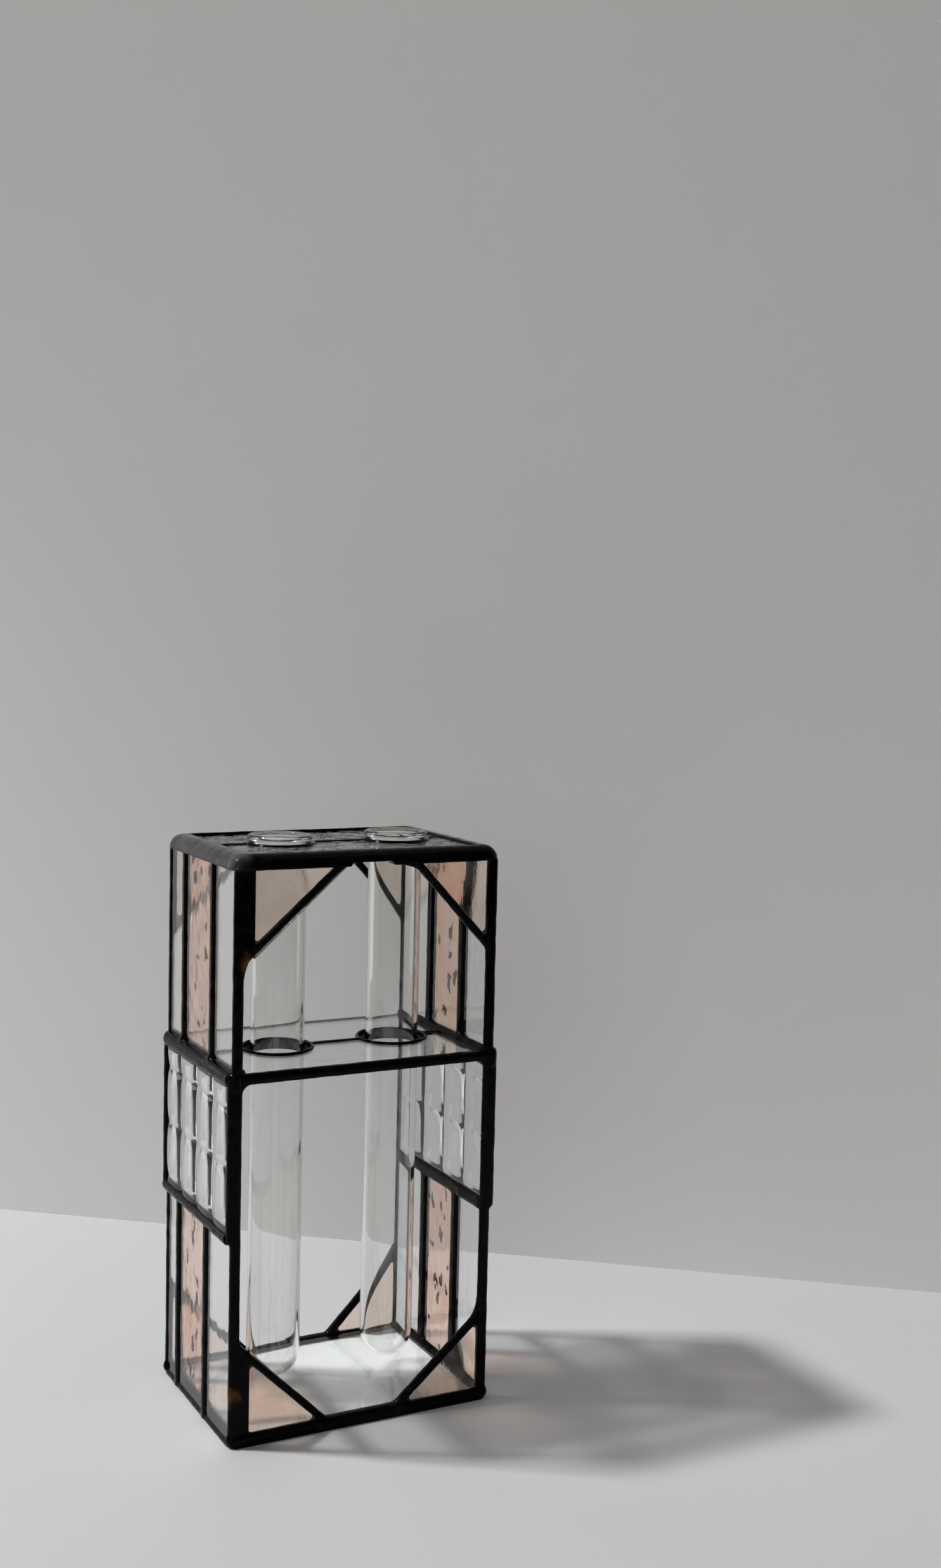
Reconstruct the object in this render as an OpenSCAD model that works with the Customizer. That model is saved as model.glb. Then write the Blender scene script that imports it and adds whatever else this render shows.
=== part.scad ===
// Leaded glass stand with two glass tubes for single stems.
// X runs from the left wall to the right wall, Y from the open front to the open back, Z up from the table.
// The origin is on the table, under the middle of the stand.

/* [Stand] */
// Width between the middles of the left and right corner posts
stand_w = 88.5; // [84:0.5:100]
// Depth between the middles of the front and back corner posts
stand_d = 63; // [58:0.5:75]
// Height of the top rim above the table
stand_h = 189; // [187:1:205]
// Height of the middle of the shelf
shelf_z = 118.3; // [110:0.1:125]
// Height of the middle of the lower transom of each end wall
transom_z = 67.5; // [60:0.5:75]

/* [Glass] */
// Thickness of the wall strips and the corner triangles
sheet_t = 2.4; // [2:0.1:2.6]
// Thickness of the base, shelf and top plates
plate_t = 3; // [2.4:0.1:3.2]
// Thickness of the fluted blocks at the crests
block_t = 4.4; // [4:0.1:5]
// Depth to which a pane's edge sits in a bar, in the rim or in the solder of a post
pane_seat = 1; // [0.6:0.1:1.2]
// Play between the edges of two panes that meet at a post
seat_play = 0.1; // [0.05:0.05:0.2]
// Drop of the top plates below the top of the rim
top_plate_drop = 0.9; // [0.6:0.1:1.2]
// Height of the pillows above the valleys between them
pillow_rise = 1.1; // [0.6:0.1:1.2]
// Width of one flute
flute_w = 15.6; // [12:0.1:20]
// Distance from the back post to the first valley between flutes
flute_start = 16.4; // [10:0.1:18]
// Height of one wave of the flutes
wave_h = 19; // [15:0.5:24]
// Distance from the top edge of a block down to its first wave valley
wave_start = 8.7; // [5:0.1:12]

/* [Wall strips] */
// Width of the back strip, upper left wall
left_upper_back_w = 14.8; // [12:0.1:18]
// Width of the pink strip, upper left wall
left_upper_pink_w = 27.7; // [22:0.1:30]
// Width of the back strip, lower left wall
left_lower_back_w = 11.6; // [10:0.1:16]
// Width of the pink strip, lower left wall
left_lower_pink_w = 27.4; // [22:0.1:30]
// Width of the back strip, upper right wall
right_upper_back_w = 20.6; // [14:0.1:23]
// Width of the pink strip, upper right wall
right_upper_pink_w = 23.4; // [18:0.1:26]
// Width of the back strip, lower right wall
right_lower_back_w = 19.8; // [14:0.1:23]
// Width of the pink strip, lower right wall
right_lower_pink_w = 23.2; // [18:0.1:26]

/* [Solder seams] */
// Radius of the corner posts
post_r = 1.8; // [1.7:0.05:2.1]
// Width of the mullions over the glass
mullion_w = 4.2; // [3:0.1:5.5]
// Height of a mullion's crown above the glass
mullion_rise = 0.8; // [0.4:0.1:1]
// Gap between two panes, which the web of a seam fills
web = 0.7; // [0.5:0.1:1]
// Height of the top rim
rim_h = 5.2; // [4.8:0.1:6]
// Width of the top rim
rim_w = 5; // [4.6:0.1:5.6]
// Rounding of the top rim's edges
rim_round = 1.6; // [0.8:0.1:2]
// Rounding of the rim's corners, seen from above
rim_corner = 3.2; // [2:0.1:4]
// Height of the bars under the open front and back
base_bar_h = 4; // [3.8:0.1:5]
// Width of the bars under the open front and back
base_bar_w = 4.4; // [4:0.1:5]
// Rounding of the upper edges of the bars under the open front and back
base_bar_round = 1.3; // [0.6:0.1:1.6]
// Height and width of the bar along the shelf's front edge
shelf_bar = 3.6; // [3.4:0.1:4.4]
// Height of the band that covers each wall's joint at the shelf
band_h = 5; // [4:0.1:6]
// Height of the band's and the lower transoms' crowns above the fluted block
band_rise = 0.5; // [0.3:0.1:0.8]
// Height of the lower transom on the outside of each wall
transom_h = 4; // [3:0.1:5]
// Height of the lower transom on the inside of each wall
transom_inner_h = 5; // [4:0.1:6]
// Radius of the beads in the inner corners between a wall and a plate
inner_fillet_r = 2; // [1.2:0.1:2.4]
// Radius of the solder in the corners under the shelf's front bar
fillet_under_r = 4; // [2:0.1:6]
// Radius of the solder in the corners over the shelf's front bar
fillet_over_r = 2.2; // [1:0.1:4]
// Thickness of the bare foil at edges with no bead
foil_t = 0.5; // [0.3:0.1:0.6]
// Width of foil that laps onto the glass
foil_lap = 1.6; // [1:0.1:2]
// Width of the centre seams over the plates
centre_seam_w = 3; // [2:0.1:4]
// Height of a centre seam's crown above the plate
centre_seam_rise = 0.45; // [0.3:0.05:0.6]

/* [Corner triangles] */
// Width of the diagonal braces
brace_w = 3; // [2.4:0.1:4]
// Rounding of a brace's edges
brace_round = 1.2; // [0.6:0.1:1.4]
// Height of a brace's faces above the glass
brace_rise = 0.5; // [0.3:0.05:0.55]
// Width of the solder from the front left post's side onto its triangles
wide_lap = 3.8; // [1.6:0.1:5]
// Width of the solder from every other post's side onto its triangles
narrow_lap = 0.9; // [0.9:0.1:2]
// Width of the triangles' glass that this solder covers
lap_cover = 0.7; // [0.4:0.1:0.7]
// Reach of the front upper left triangle along the rim
top_left_reach = 35.5; // [28:0.5:38]
// Drop of the front upper left triangle down the post
top_left_drop = 32; // [26:0.5:36]
// Reach of the front upper right triangle along the rim
top_right_reach = 31; // [26:0.5:38]
// Drop of the front upper right triangle down the post
top_right_drop = 30.5; // [26:0.5:36]
// Reach of the front lower left triangle along the base
base_left_reach = 36; // [28:0.5:38]
// Rise of the front lower left triangle up the post
base_left_rise = 31.5; // [26:0.5:36]
// Reach of the front lower right triangle along the base
base_right_reach = 36.5; // [28:0.5:38]
// Rise of the front lower right triangle up the post
base_right_rise = 32.5; // [26:0.5:36]
// Reach of each back triangle along the rim or the base
back_reach = 32; // [26:0.5:38]
// Run of each back triangle along the post
back_run = 31.5; // [26:0.5:36]

/* [Tubes and collars] */
// Outer diameter of a tube
tube_d = 18; // [16:0.1:18.6]
// Thickness of a tube's wall
tube_wall = 1.1; // [0.9:0.1:1.6]
// Length of a tube from the lip to the round end
tube_l = 184; // [150:1:186]
// Outer diameter of a tube's rolled lip
lip_d = 21.6; // [21:0.1:23]
// Height of the rolled lip
lip_t = 2.2; // [1.8:0.1:3]
// Distance from the middle of the left wall to the left tube
left_tube_inset = 25.55; // [17:0.05:28]
// Distance from the middle of the right wall to the right tube
right_tube_inset = 20.95; // [17:0.05:26]
// Clear gap round a tube in its top collar, on the radius
top_gap = 0.8; // [0.4:0.1:1]
// Width of a top collar's ring
top_collar_w = 2.2; // [1.6:0.1:2.6]
// Clear gap round a tube in its shelf collar, on the radius
shelf_gap = 2.2; // [1:0.1:2.6]
// Width of a shelf collar's ring
shelf_collar_w = 1.2; // [1:0.1:2]
// Height of a collar's crown above its plate
collar_rise = 0.45; // [0.3:0.05:0.6]
// Gap between a tube's lip and the collar under it
lip_gap = 0.25; // [0.1:0.05:0.5]

/* [Hidden] */
$fn = 64;

// Sides of the stand: the left wall and the open front are the negative ones
LEFT = -1;
RIGHT = 1;
FRONT = -1;
BACK = 1;

// Colours
PATINA = [0.15, 0.15, 0.16];
CLEAR = [0.80, 0.88, 0.88, 0.4];
PINK = [0.93, 0.74, 0.70, 0.55];
TUBE_GLASS = [0.86, 0.93, 0.94, 0.35];

// One overrun for every cut, and the overlap that joins a web to its crowns
overrun = 1;
join = 0.2;

half_w = stand_w / 2;
half_d = stand_d / 2;
half_sheet = sheet_t / 2;
half_plate = plate_t / 2;
rim_z = stand_h - rim_h;

// Distance from the middle of a post to the edge of a wall pane
post_seat = half_sheet + seat_play;

// Plates
top_plate_z = stand_h - top_plate_drop - half_plate;
base_plate_z = foil_t + half_plate;
plate_end = half_w - half_sheet - web;
base_plate_edge = half_d - post_seat - seat_play;
shelf_front_edge = half_d - shelf_bar / 2 + pane_seat;
shelf_back_edge = half_d - foil_t;

// Outside of the fluted blocks, measured outwards from the middle of the wall
crest_y = block_t - half_sheet;

// Collars and the holes for them
tube_r = tube_d / 2;
top_collar_r = tube_r + top_gap;
top_collar_outer = top_collar_r + top_collar_w;
top_hole_r = top_collar_r + top_collar_w / 2;
shelf_collar_r = tube_r + shelf_gap;
shelf_collar_outer = shelf_collar_r + shelf_collar_w;
shelf_hole_r = shelf_collar_r + shelf_collar_w / 2;
collar_h = plate_t + 2 * collar_rise;
lip_z = top_plate_z + collar_h / 2 + lip_gap;
tube_top = lip_z + lip_t;

// Bead of the band at the shelf and of the lower transom, whose arcs run from the block to the strips
bead_r_share = 0.62;
bead_shift_share = 0.1;
band_bead_r = bead_r_share * band_h;
band_bead_y = crest_y + band_rise - band_bead_r;
band_bead_drop = bead_shift_share * band_h;
transom_bead_r = bead_r_share * transom_h;
transom_bead_y = crest_y + band_rise - transom_bead_r;
transom_bead_lift = bead_shift_share * transom_h;
swell_share = 0.92;
swell_r = swell_share * post_r;
swell_y = crest_y - swell_r;

// Outlines

module rounded_rect(w, h, r) {
    square([w, h - 2 * r], center = true);
    square([w - 2 * r, h], center = true);
    for (sx = [-1, 1], sy = [-1, 1])
        translate([sx * (w / 2 - r), sy * (h / 2 - r)])
            circle(r);
}

// Rectangle that stands on y = 0, with its two upper corners rounded
module round_top_rect(w, h, r) {
    translate([-w / 2, 0])
        square([w, h - r]);
    translate([-w / 2 + r, 0])
        square([w - 2 * r, h]);
    for (sx = [-1, 1])
        translate([sx * (w / 2 - r), h - r])
            circle(r);
}

// Crown of a bead: a circular segment w wide that stands rise above the line y = 0
module crown(w, rise) {
    r = (w * w / 4 + rise * rise) / (2 * rise);
    intersection() {
        translate([0, rise - r])
            circle(r);
        translate([-w / 2, 0])
            square([w, rise + overrun]);
    }
}

// Section of a seam between two panes: a crown on each face of the glass and the web between the edges
module seam_section(w, rise, t) {
    translate([0, t / 2])
        crown(w, rise);
    mirror([0, 1])
        translate([0, t / 2])
            crown(w, rise);
    square([web, t + 2 * join], center = true);
}

// Quarter of a disc that fills the inner corner at the origin, towards -x and +y
module corner_bead(r) {
    intersection() {
        circle(r);
        translate([-r - overrun, 0])
            square([r + overrun, r + overrun]);
    }
}

// Square with a round bite, which rounds the open corner between a bar and a post
module open_fillet(r) {
    difference() {
        square([r + join, r + join]);
        translate([r + join, r + join])
            circle(r);
    }
}

// Placing

// Wall frame: x along the wall towards the front, y outwards, z up
module on_wall(side) {
    translate([side * half_w, 0, 0])
        mirror([side == LEFT ? 1 : 0, 0, 0])
            rotate([0, 0, -90])
                children();
}

// Extrudes an outline in the wall's section, x outwards and y up, along the wall
module along_wall(side, length = stand_d) {
    on_wall(side)
        translate([-length / 2, 0, 0])
            rotate([90, 0, 90])
                linear_extrude(length)
                    children();
}

// Extrudes an outline in the section across the stand, x towards the back and y up, along X
module along_x(length) {
    translate([-length / 2, 0, 0])
        rotate([90, 0, 90])
            linear_extrude(length)
                children();
}

// Face frame at one corner: x from the post inwards, y up the post, extruded across the face's glass
module on_face(side, face, t) {
    translate([side * half_w, face * half_d, 0])
        mirror([side == RIGHT ? 1 : 0, 0, 0])
            translate([0, t / 2, 0])
                rotate([90, 0, 0])
                    linear_extrude(t)
                        children();
}

module at_post(side, face) {
    translate([side * half_w, face * half_d, 0])
        children();
}

module at_tube(side, z) {
    translate([side == LEFT ? left_tube_inset - half_w : half_w - right_tube_inset, 0, z])
        children();
}

// Glass of the end walls

function mullion_x(side, upper, k) =
    -half_d
    + (side == LEFT
        ? (upper ? left_upper_back_w : left_lower_back_w)
        : (upper ? right_upper_back_w : right_lower_back_w))
    + (k == 0 ? 0
        : side == LEFT
            ? (upper ? left_upper_pink_w : left_lower_pink_w)
            : (upper ? right_upper_pink_w : right_lower_pink_w));

function strip_start(side, upper, k) = k == 0 ? -half_d + post_seat : mullion_x(side, upper, k - 1) + web / 2;
function strip_end(side, upper, k) = k == 2 ? half_d - post_seat : mullion_x(side, upper, k) - web / 2;

upper_bottom = shelf_z + web / 2;
upper_top = rim_z + pane_seat;
lower_bottom = foil_t;
lower_top = transom_z - web / 2;
block_bottom = transom_z + web / 2;
block_top = shelf_z - web / 2;

// One strip of an end wall, counted from the back
module wall_strip(side, upper, k) {
    bottom = upper ? upper_bottom : lower_bottom;
    top = upper ? upper_top : lower_top;
    start = strip_start(side, upper, k);
    on_wall(side)
        translate([start, -half_sheet, bottom])
            cube([strip_end(side, upper, k) - start, sheet_t, top - bottom]);
}

module wall_strips(side, upper) {
    for (k = [0:2])
        wall_strip(side, upper, k);
}

// Cast block: upright flutes crossed by level waves, so that each crossing swells like a pillow
module fluted_block(side) {
    flute_r = (flute_w * flute_w / 4 + pillow_rise * pillow_rise) / (2 * pillow_rise);
    wave_r = (wave_h * wave_h / 4 + pillow_rise * pillow_rise) / (2 * pillow_rise);
    length = stand_d - 2 * post_seat;
    height = block_top - block_bottom;
    flutes = ceil((stand_d - flute_start) / flute_w);
    waves = ceil((height - wave_start) / wave_h);
    on_wall(side)
        intersection() {
            translate([0, 0, block_bottom])
                linear_extrude(height)
                    intersection() {
                        for (i = [0:flutes])
                            translate([-half_d + flute_start + (i - 0.5) * flute_w, crest_y - flute_r])
                                circle(flute_r, $fn = 128);
                        translate([-length / 2, -half_sheet])
                            square([length, block_t + overrun]);
                    }
            translate([-length / 2, 0, 0])
                rotate([90, 0, 90])
                    linear_extrude(length)
                        intersection() {
                            for (i = [0:waves])
                                translate([crest_y - wave_r, block_top - wave_start - (i - 0.5) * wave_h])
                                    circle(wave_r, $fn = 128);
                            translate([-half_sheet, block_bottom])
                                square([block_t + overrun, height]);
                        }
        }
}

// Plates

// Half of a plate with half-round notches for the two collars
module half_plate_with_notches(face, z, end_x, edge_y, hole_r) {
    difference() {
        translate([-end_x, face == FRONT ? -edge_y : web / 2, z - half_plate])
            cube([2 * end_x, edge_y - web / 2, plate_t]);
        for (side = [LEFT, RIGHT])
            at_tube(side, z - half_plate - overrun)
                cylinder(r = hole_r, h = plate_t + 2 * overrun);
    }
}

module base_plate() {
    translate([-plate_end, -base_plate_edge, foil_t])
        cube([2 * plate_end, 2 * base_plate_edge, plate_t]);
}

module shelf_plate(face) {
    half_plate_with_notches(face, shelf_z, plate_end, face == FRONT ? shelf_front_edge : shelf_back_edge,
        shelf_hole_r);
}

module top_plate(face) {
    half_plate_with_notches(face, top_plate_z, half_w - rim_w / 2 + pane_seat,
        half_d - rim_w / 2 + pane_seat, top_hole_r);
}

// Corner triangles and their braces

function lap(side, face) = post_r + (side == LEFT && face == FRONT ? wide_lap : narrow_lap);
function reach(side, face, top) =
    face == BACK ? back_reach
    : side == LEFT ? (top ? top_left_reach : base_left_reach)
    : (top ? top_right_reach : base_right_reach);
function run(side, face, top) =
    face == BACK ? back_run
    : side == LEFT ? (top ? top_left_drop : base_left_rise)
    : (top ? top_right_drop : base_right_rise);

// Height above the base bar, or below the rim, of the brace's middle line at a distance x from the post
function brace_y(side, face, top, x) = run(side, face, top) * (1 - x / reach(side, face, top));

// Moves an outline drawn from the bar's edge to the base bar, or turns it over under the rim
module from_bar(top) {
    translate([0, top ? rim_z : base_bar_h])
        mirror([0, top ? 1 : 0])
            children();
}

// Triangle pane: its long edge is the middle line of the brace
module triangle(side, face, top) {
    x0 = lap(side, face) - lap_cover;
    x1 = reach(side, face, top) * (1 + pane_seat / run(side, face, top));
    on_face(side, face, sheet_t)
        from_bar(top)
            polygon([[x0, -pane_seat], [x1, -pane_seat], [x0, brace_y(side, face, top, x0)]]);
}

// Flat solder between a post and its triangle
module post_lap(side, face, top) {
    x1 = lap(side, face);
    on_face(side, face, sheet_t + brace_rise)
        from_bar(top)
            polygon([[0, 0], [x1, 0], [x1, brace_y(side, face, top, x1)], [0, brace_y(side, face, top, 0)]]);
}

// Round-edged bar along the middle line of the brace, from the middle of the post to inside the bar
module brace_bar(side, face, top) {
    r = reach(side, face, top);
    d = run(side, face, top);
    t = sheet_t + 2 * brace_rise;
    translate([side * half_w, face * half_d, top ? rim_z : base_bar_h])
        mirror([side == RIGHT ? 1 : 0, 0, 0])
            mirror([0, 0, top ? 1 : 0])
                intersection() {
                    translate([0, 0, d])
                        rotate([0, atan2(d, r), 0])
                            translate([-brace_w, 0, 0])
                                rotate([90, 0, 90])
                                    linear_extrude(sqrt(r * r + d * d) + 2 * brace_w)
                                        rounded_rect(t, brace_w, brace_round);
                    translate([0, -t, -pane_seat])
                        cube([r + 2 * brace_w, 2 * t, d + 2 * brace_w]);
                }
}

module brace(side, face, top) {
    difference() {
        brace_bar(side, face, top);
        post_round(side, face);
        post_lap(side, face, top);
        triangle(side, face, top);
        wall_strips(side, top);
        if (top)
            rim_ring();
        else
            base_bar_raw(face);
    }
}

// Posts

// Round post, swollen outwards where it holds the thick edge of a fluted block
module post_round(side, face) {
    at_post(side, face)
        cylinder(r = post_r, h = rim_z);
    swell_bottom = transom_z - transom_h / 2;
    at_post(side, face)
        translate([0, 0, swell_bottom])
            linear_extrude(shelf_z + band_h / 2 - swell_bottom) {
                translate([side * swell_y, 0])
                    circle(swell_r);
                translate([side * swell_y / 2, 0])
                    square([swell_y, 2 * swell_r], center = true);
            }
}

module post(side, face) {
    difference() {
        union() {
            post_round(side, face);
            for (top = [false, true])
                post_lap(side, face, top);
        }
        for (top = [false, true]) {
            wall_strips(side, top);
            triangle(side, face, top);
        }
        fluted_block(side);
        base_bar_raw(face);
    }
}

// Top rim

// Straight bar of the rim's section, along X at the front or back
module rim_bar_x(face) {
    translate([0, face * half_d, stand_h - rim_h / 2])
        along_x(stand_w + rim_w)
            rounded_rect(rim_w, rim_h, rim_round);
}

module rim_bar_y(side) {
    translate([side * half_w, 0, stand_h - rim_h / 2])
        rotate([0, 0, 90])
            along_x(stand_d + rim_w)
                rounded_rect(rim_w, rim_h, rim_round);
}

module rim_ring() {
    for (face = [FRONT, BACK])
        rim_bar_x(face);
    for (side = [LEFT, RIGHT])
        rim_bar_y(side);
}

// Plan of the whole rim with its round corners
module rim_plan() {
    translate([0, 0, rim_z - overrun])
        linear_extrude(rim_h + 2 * overrun)
            rounded_rect(stand_w + rim_w, stand_d + rim_w, rim_corner);
}

// Plan of one bar, cut on the mitre at both ends
module mitre_x(face) {
    x1 = half_w + rim_w;
    y1 = half_d + rim_w;
    inner = rim_w * 2;
    translate([0, 0, rim_z - overrun])
        linear_extrude(rim_h + 2 * overrun)
            polygon([
                [-x1, face * y1], [x1, face * y1],
                [x1 - inner, face * (y1 - inner)], [-x1 + inner, face * (y1 - inner)]
            ]);
}

module mitre_y(side) {
    x1 = half_w + rim_w;
    y1 = half_d + rim_w;
    inner = rim_w * 2;
    translate([0, 0, rim_z - overrun])
        linear_extrude(rim_h + 2 * overrun)
            polygon([
                [side * x1, -y1], [side * x1, y1],
                [side * (x1 - inner), y1 - inner], [side * (x1 - inner), -y1 + inner]
            ]);
}

module rim_seats() {
    for (face = [FRONT, BACK]) {
        top_plate(face);
        for (side = [LEFT, RIGHT])
            triangle(side, face, true);
    }
    for (side = [LEFT, RIGHT])
        wall_strips(side, true);
}

module rim_x(face) {
    difference() {
        intersection() {
            rim_bar_x(face);
            rim_plan();
            mitre_x(face);
        }
        rim_seats();
    }
}

module rim_y(side) {
    difference() {
        intersection() {
            rim_bar_y(side);
            rim_plan();
            mitre_y(side);
        }
        rim_seats();
    }
}

// Base

// Bar under the open front or back: flat underneath, round on top
module base_bar_raw(face) {
    translate([0, face * half_d, 0])
        along_x(stand_w)
            round_top_rect(base_bar_w, base_bar_h, base_bar_round);
}

module base_bar(face) {
    difference() {
        base_bar_raw(face);
        base_plate();
        for (side = [LEFT, RIGHT])
            triangle(side, face, false);
        for (side = [LEFT, RIGHT])
            wall_strips(side, false);
    }
}

// Bead in the corner between an end wall and the base plate
module base_fillet(side) {
    along_wall(side, stand_d - base_bar_w)
        translate([-half_sheet, plate_t + foil_t])
            corner_bead(inner_fillet_r);
}

// Foil under an end wall, with its bead on the inside
module base_seam(side) {
    difference() {
        along_wall(side) {
            translate([-half_sheet - web - foil_lap, 0])
                square([sheet_t + web + foil_lap + foil_t, foil_t]);
            translate([half_sheet, 0])
                square([foil_t, foil_lap]);
            translate([-half_sheet - web, 0])
                square([web, plate_t + foil_t + join]);
        }
        wall_strips(side, false);
        base_plate();
        for (face = [FRONT, BACK]) {
            base_bar_raw(face);
            post_round(side, face);
        }
    }
    base_fillet(side);
}

// Shelf

module shelf_bar_raw() {
    translate([0, -half_d, shelf_z])
        along_x(stand_w)
            rounded_rect(shelf_bar, shelf_bar, shelf_bar / 3);
}

// Bar along the shelf's front edge, with the solder drawn out into the corners at both posts
module front_shelf_bar() {
    reach_z = shelf_bar + fillet_under_r;
    difference() {
        union() {
            shelf_bar_raw();
            for (side = [LEFT, RIGHT], over = [0, 1])
                on_face(side, FRONT, sheet_t)
                    translate([post_r - join, shelf_z])
                        mirror([0, over == 1 ? 0 : 1])
                            translate([0, shelf_bar / 2 - join])
                                open_fillet(over == 1 ? fillet_over_r : fillet_under_r);
        }
        shelf_plate(FRONT);
        for (side = [LEFT, RIGHT]) {
            post_round(side, FRONT);
            on_wall(side)
                translate([0, -half_sheet, shelf_z - reach_z])
                    cube([half_d - post_seat, sheet_t, 2 * reach_z]);
        }
    }
}

// Thin foil along the shelf's back edge, left without a bead
module back_shelf_edge() {
    difference() {
        translate([-plate_end, half_d - foil_lap, shelf_z - half_plate - foil_t])
            cube([2 * plate_end, foil_lap, plate_t + 2 * foil_t]);
        shelf_plate(BACK);
        for (side = [LEFT, RIGHT])
            post_round(side, BACK);
    }
}

// Seams of the end walls

// Section at the shelf: outer bead over the block's edge, web, and a bead above and below the shelf
module band_section() {
    intersection() {
        translate([band_bead_y, -band_bead_drop])
            circle(band_bead_r);
        translate([half_sheet, -band_h / 2])
            square([band_bead_r + overrun, band_h]);
    }
    translate([-half_sheet - web, -web / 2])
        square([sheet_t + web + join, web]);
    translate([-half_sheet - web, -half_plate - join])
        square([web, plate_t + 2 * join]);
    shelf_fillets();
}

// Beads in the two corners between an end wall and the shelf
module shelf_fillets() {
    for (under = [0, 1])
        mirror([0, under])
            translate([-half_sheet, half_plate])
                corner_bead(inner_fillet_r);
}

module band_raw(side) {
    translate([0, 0, shelf_z])
        along_wall(side)
            band_section();
}

module shelf_band(side) {
    difference() {
        band_raw(side);
        fluted_block(side);
        for (face = [FRONT, BACK]) {
            post_round(side, face);
            shelf_plate(face);
        }
        front_shelf_bar();
        back_shelf_edge();
    }
}

// Section of the lower transom: outer bead, web, and a wide crown on the inside
module transom_section() {
    intersection() {
        translate([transom_bead_y, transom_bead_lift])
            circle(transom_bead_r);
        translate([half_sheet, -transom_h / 2])
            square([transom_bead_r + overrun, transom_h]);
    }
    translate([-half_sheet - join, -web / 2])
        square([sheet_t + 2 * join, web]);
    translate([-half_sheet, 0])
        rotate(90)
            crown(transom_inner_h, mullion_rise);
}

module transom_raw(side) {
    translate([0, 0, transom_z])
        along_wall(side)
            transom_section();
}

module transom(side) {
    difference() {
        transom_raw(side);
        fluted_block(side);
        for (face = [FRONT, BACK])
            post_round(side, face);
    }
}

// Two upper and two lower mullions of one wall
module mullions(side) {
    difference() {
        on_wall(side)
            for (upper = [false, true], k = [0, 1]) {
                bottom = upper ? shelf_z + half_plate : foil_t;
                translate([mullion_x(side, upper, k), 0, bottom])
                    linear_extrude((upper ? upper_top : transom_z - transom_h / 4) - bottom)
                        seam_section(mullion_w, mullion_rise, sheet_t);
            }
        rim_bar_y(side);
        band_raw(side);
        transom_raw(side);
        along_wall(side) {
            translate([half_sheet, 0])
                square([foil_t, foil_lap]);
            translate([-half_sheet - web, 0])
                square([web, plate_t + foil_t + join]);
        }
        base_fillet(side);
        base_plate();
    }
}

// Seams along the middle of the plates, from wall to wall and between the collars

module centre_seam(z, length, disc_r) {
    difference() {
        translate([0, 0, z])
            along_x(length)
                seam_section(centre_seam_w, centre_seam_rise, plate_t);
        for (side = [LEFT, RIGHT])
            at_tube(side, z - collar_h)
                cylinder(r = disc_r, h = 2 * collar_h);
        children();
    }
}

module collar(side, z, inner_r, outer_r, hole_r) {
    at_tube(side, z)
        rotate_extrude($fn = 96)
            difference() {
                translate([(inner_r + outer_r) / 2, 0])
                    rounded_rect(outer_r - inner_r, collar_h, collar_rise);
                translate([hole_r, -half_plate])
                    square([outer_r, plate_t]);
            }
}

// Glass tube: straight wall, round end and a rolled lip that hangs on the top collar
module tube(side) {
    bore_r = tube_r - tube_wall;
    lip_r = lip_t / 2;
    length = tube_l - tube_r;
    at_tube(side, tube_top)
        rotate_extrude($fn = 96)
            difference() {
                union() {
                    translate([0, -length])
                        square([tube_r, length - lip_r]);
                    translate([0, -length])
                        intersection() {
                            circle(tube_r);
                            translate([0, -tube_r])
                                square([tube_r, tube_r]);
                        }
                    translate([0, -lip_t])
                        square([lip_d / 2 - lip_r, lip_t]);
                    translate([lip_d / 2 - lip_r, -lip_r])
                        circle(lip_r);
                }
                translate([0, -length])
                    square([bore_r, length + overrun]);
                translate([0, -length])
                    intersection() {
                        circle(bore_r);
                        translate([0, -bore_r])
                            square([bore_r, bore_r]);
                    }
            }
}

// Nodes: panes

module base_pane() { color(CLEAR) base_plate(); }
module shelf_pane_front() { color(CLEAR) shelf_plate(FRONT); }
module shelf_pane_back() { color(CLEAR) shelf_plate(BACK); }
module top_pane_front() { color(CLEAR) top_plate(FRONT); }
module top_pane_back() { color(CLEAR) top_plate(BACK); }

module left_upper_back_pane() { color(CLEAR) wall_strip(LEFT, true, 0); }
module left_upper_pink_pane() { color(PINK) wall_strip(LEFT, true, 1); }
module left_upper_front_pane() { color(CLEAR) wall_strip(LEFT, true, 2); }
module left_fluted_block() { color(CLEAR) fluted_block(LEFT); }
module left_lower_back_pane() { color(CLEAR) wall_strip(LEFT, false, 0); }
module left_lower_pink_pane() { color(PINK) wall_strip(LEFT, false, 1); }
module left_lower_front_pane() { color(CLEAR) wall_strip(LEFT, false, 2); }

module right_upper_back_pane() { color(CLEAR) wall_strip(RIGHT, true, 0); }
module right_upper_pink_pane() { color(PINK) wall_strip(RIGHT, true, 1); }
module right_upper_front_pane() { color(CLEAR) wall_strip(RIGHT, true, 2); }
module right_fluted_block() { color(CLEAR) fluted_block(RIGHT); }
module right_lower_back_pane() { color(CLEAR) wall_strip(RIGHT, false, 0); }
module right_lower_pink_pane() { color(PINK) wall_strip(RIGHT, false, 1); }
module right_lower_front_pane() { color(CLEAR) wall_strip(RIGHT, false, 2); }

module front_top_left_triangle() { color(PINK) triangle(LEFT, FRONT, true); }
module front_top_right_triangle() { color(PINK) triangle(RIGHT, FRONT, true); }
module front_base_left_triangle() { color(PINK) triangle(LEFT, FRONT, false); }
module front_base_right_triangle() { color(PINK) triangle(RIGHT, FRONT, false); }
module back_top_left_triangle() { color(PINK) triangle(LEFT, BACK, true); }
module back_top_right_triangle() { color(PINK) triangle(RIGHT, BACK, true); }
module back_base_left_triangle() { color(PINK) triangle(LEFT, BACK, false); }
module back_base_right_triangle() { color(PINK) triangle(RIGHT, BACK, false); }

// Nodes: seams

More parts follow.
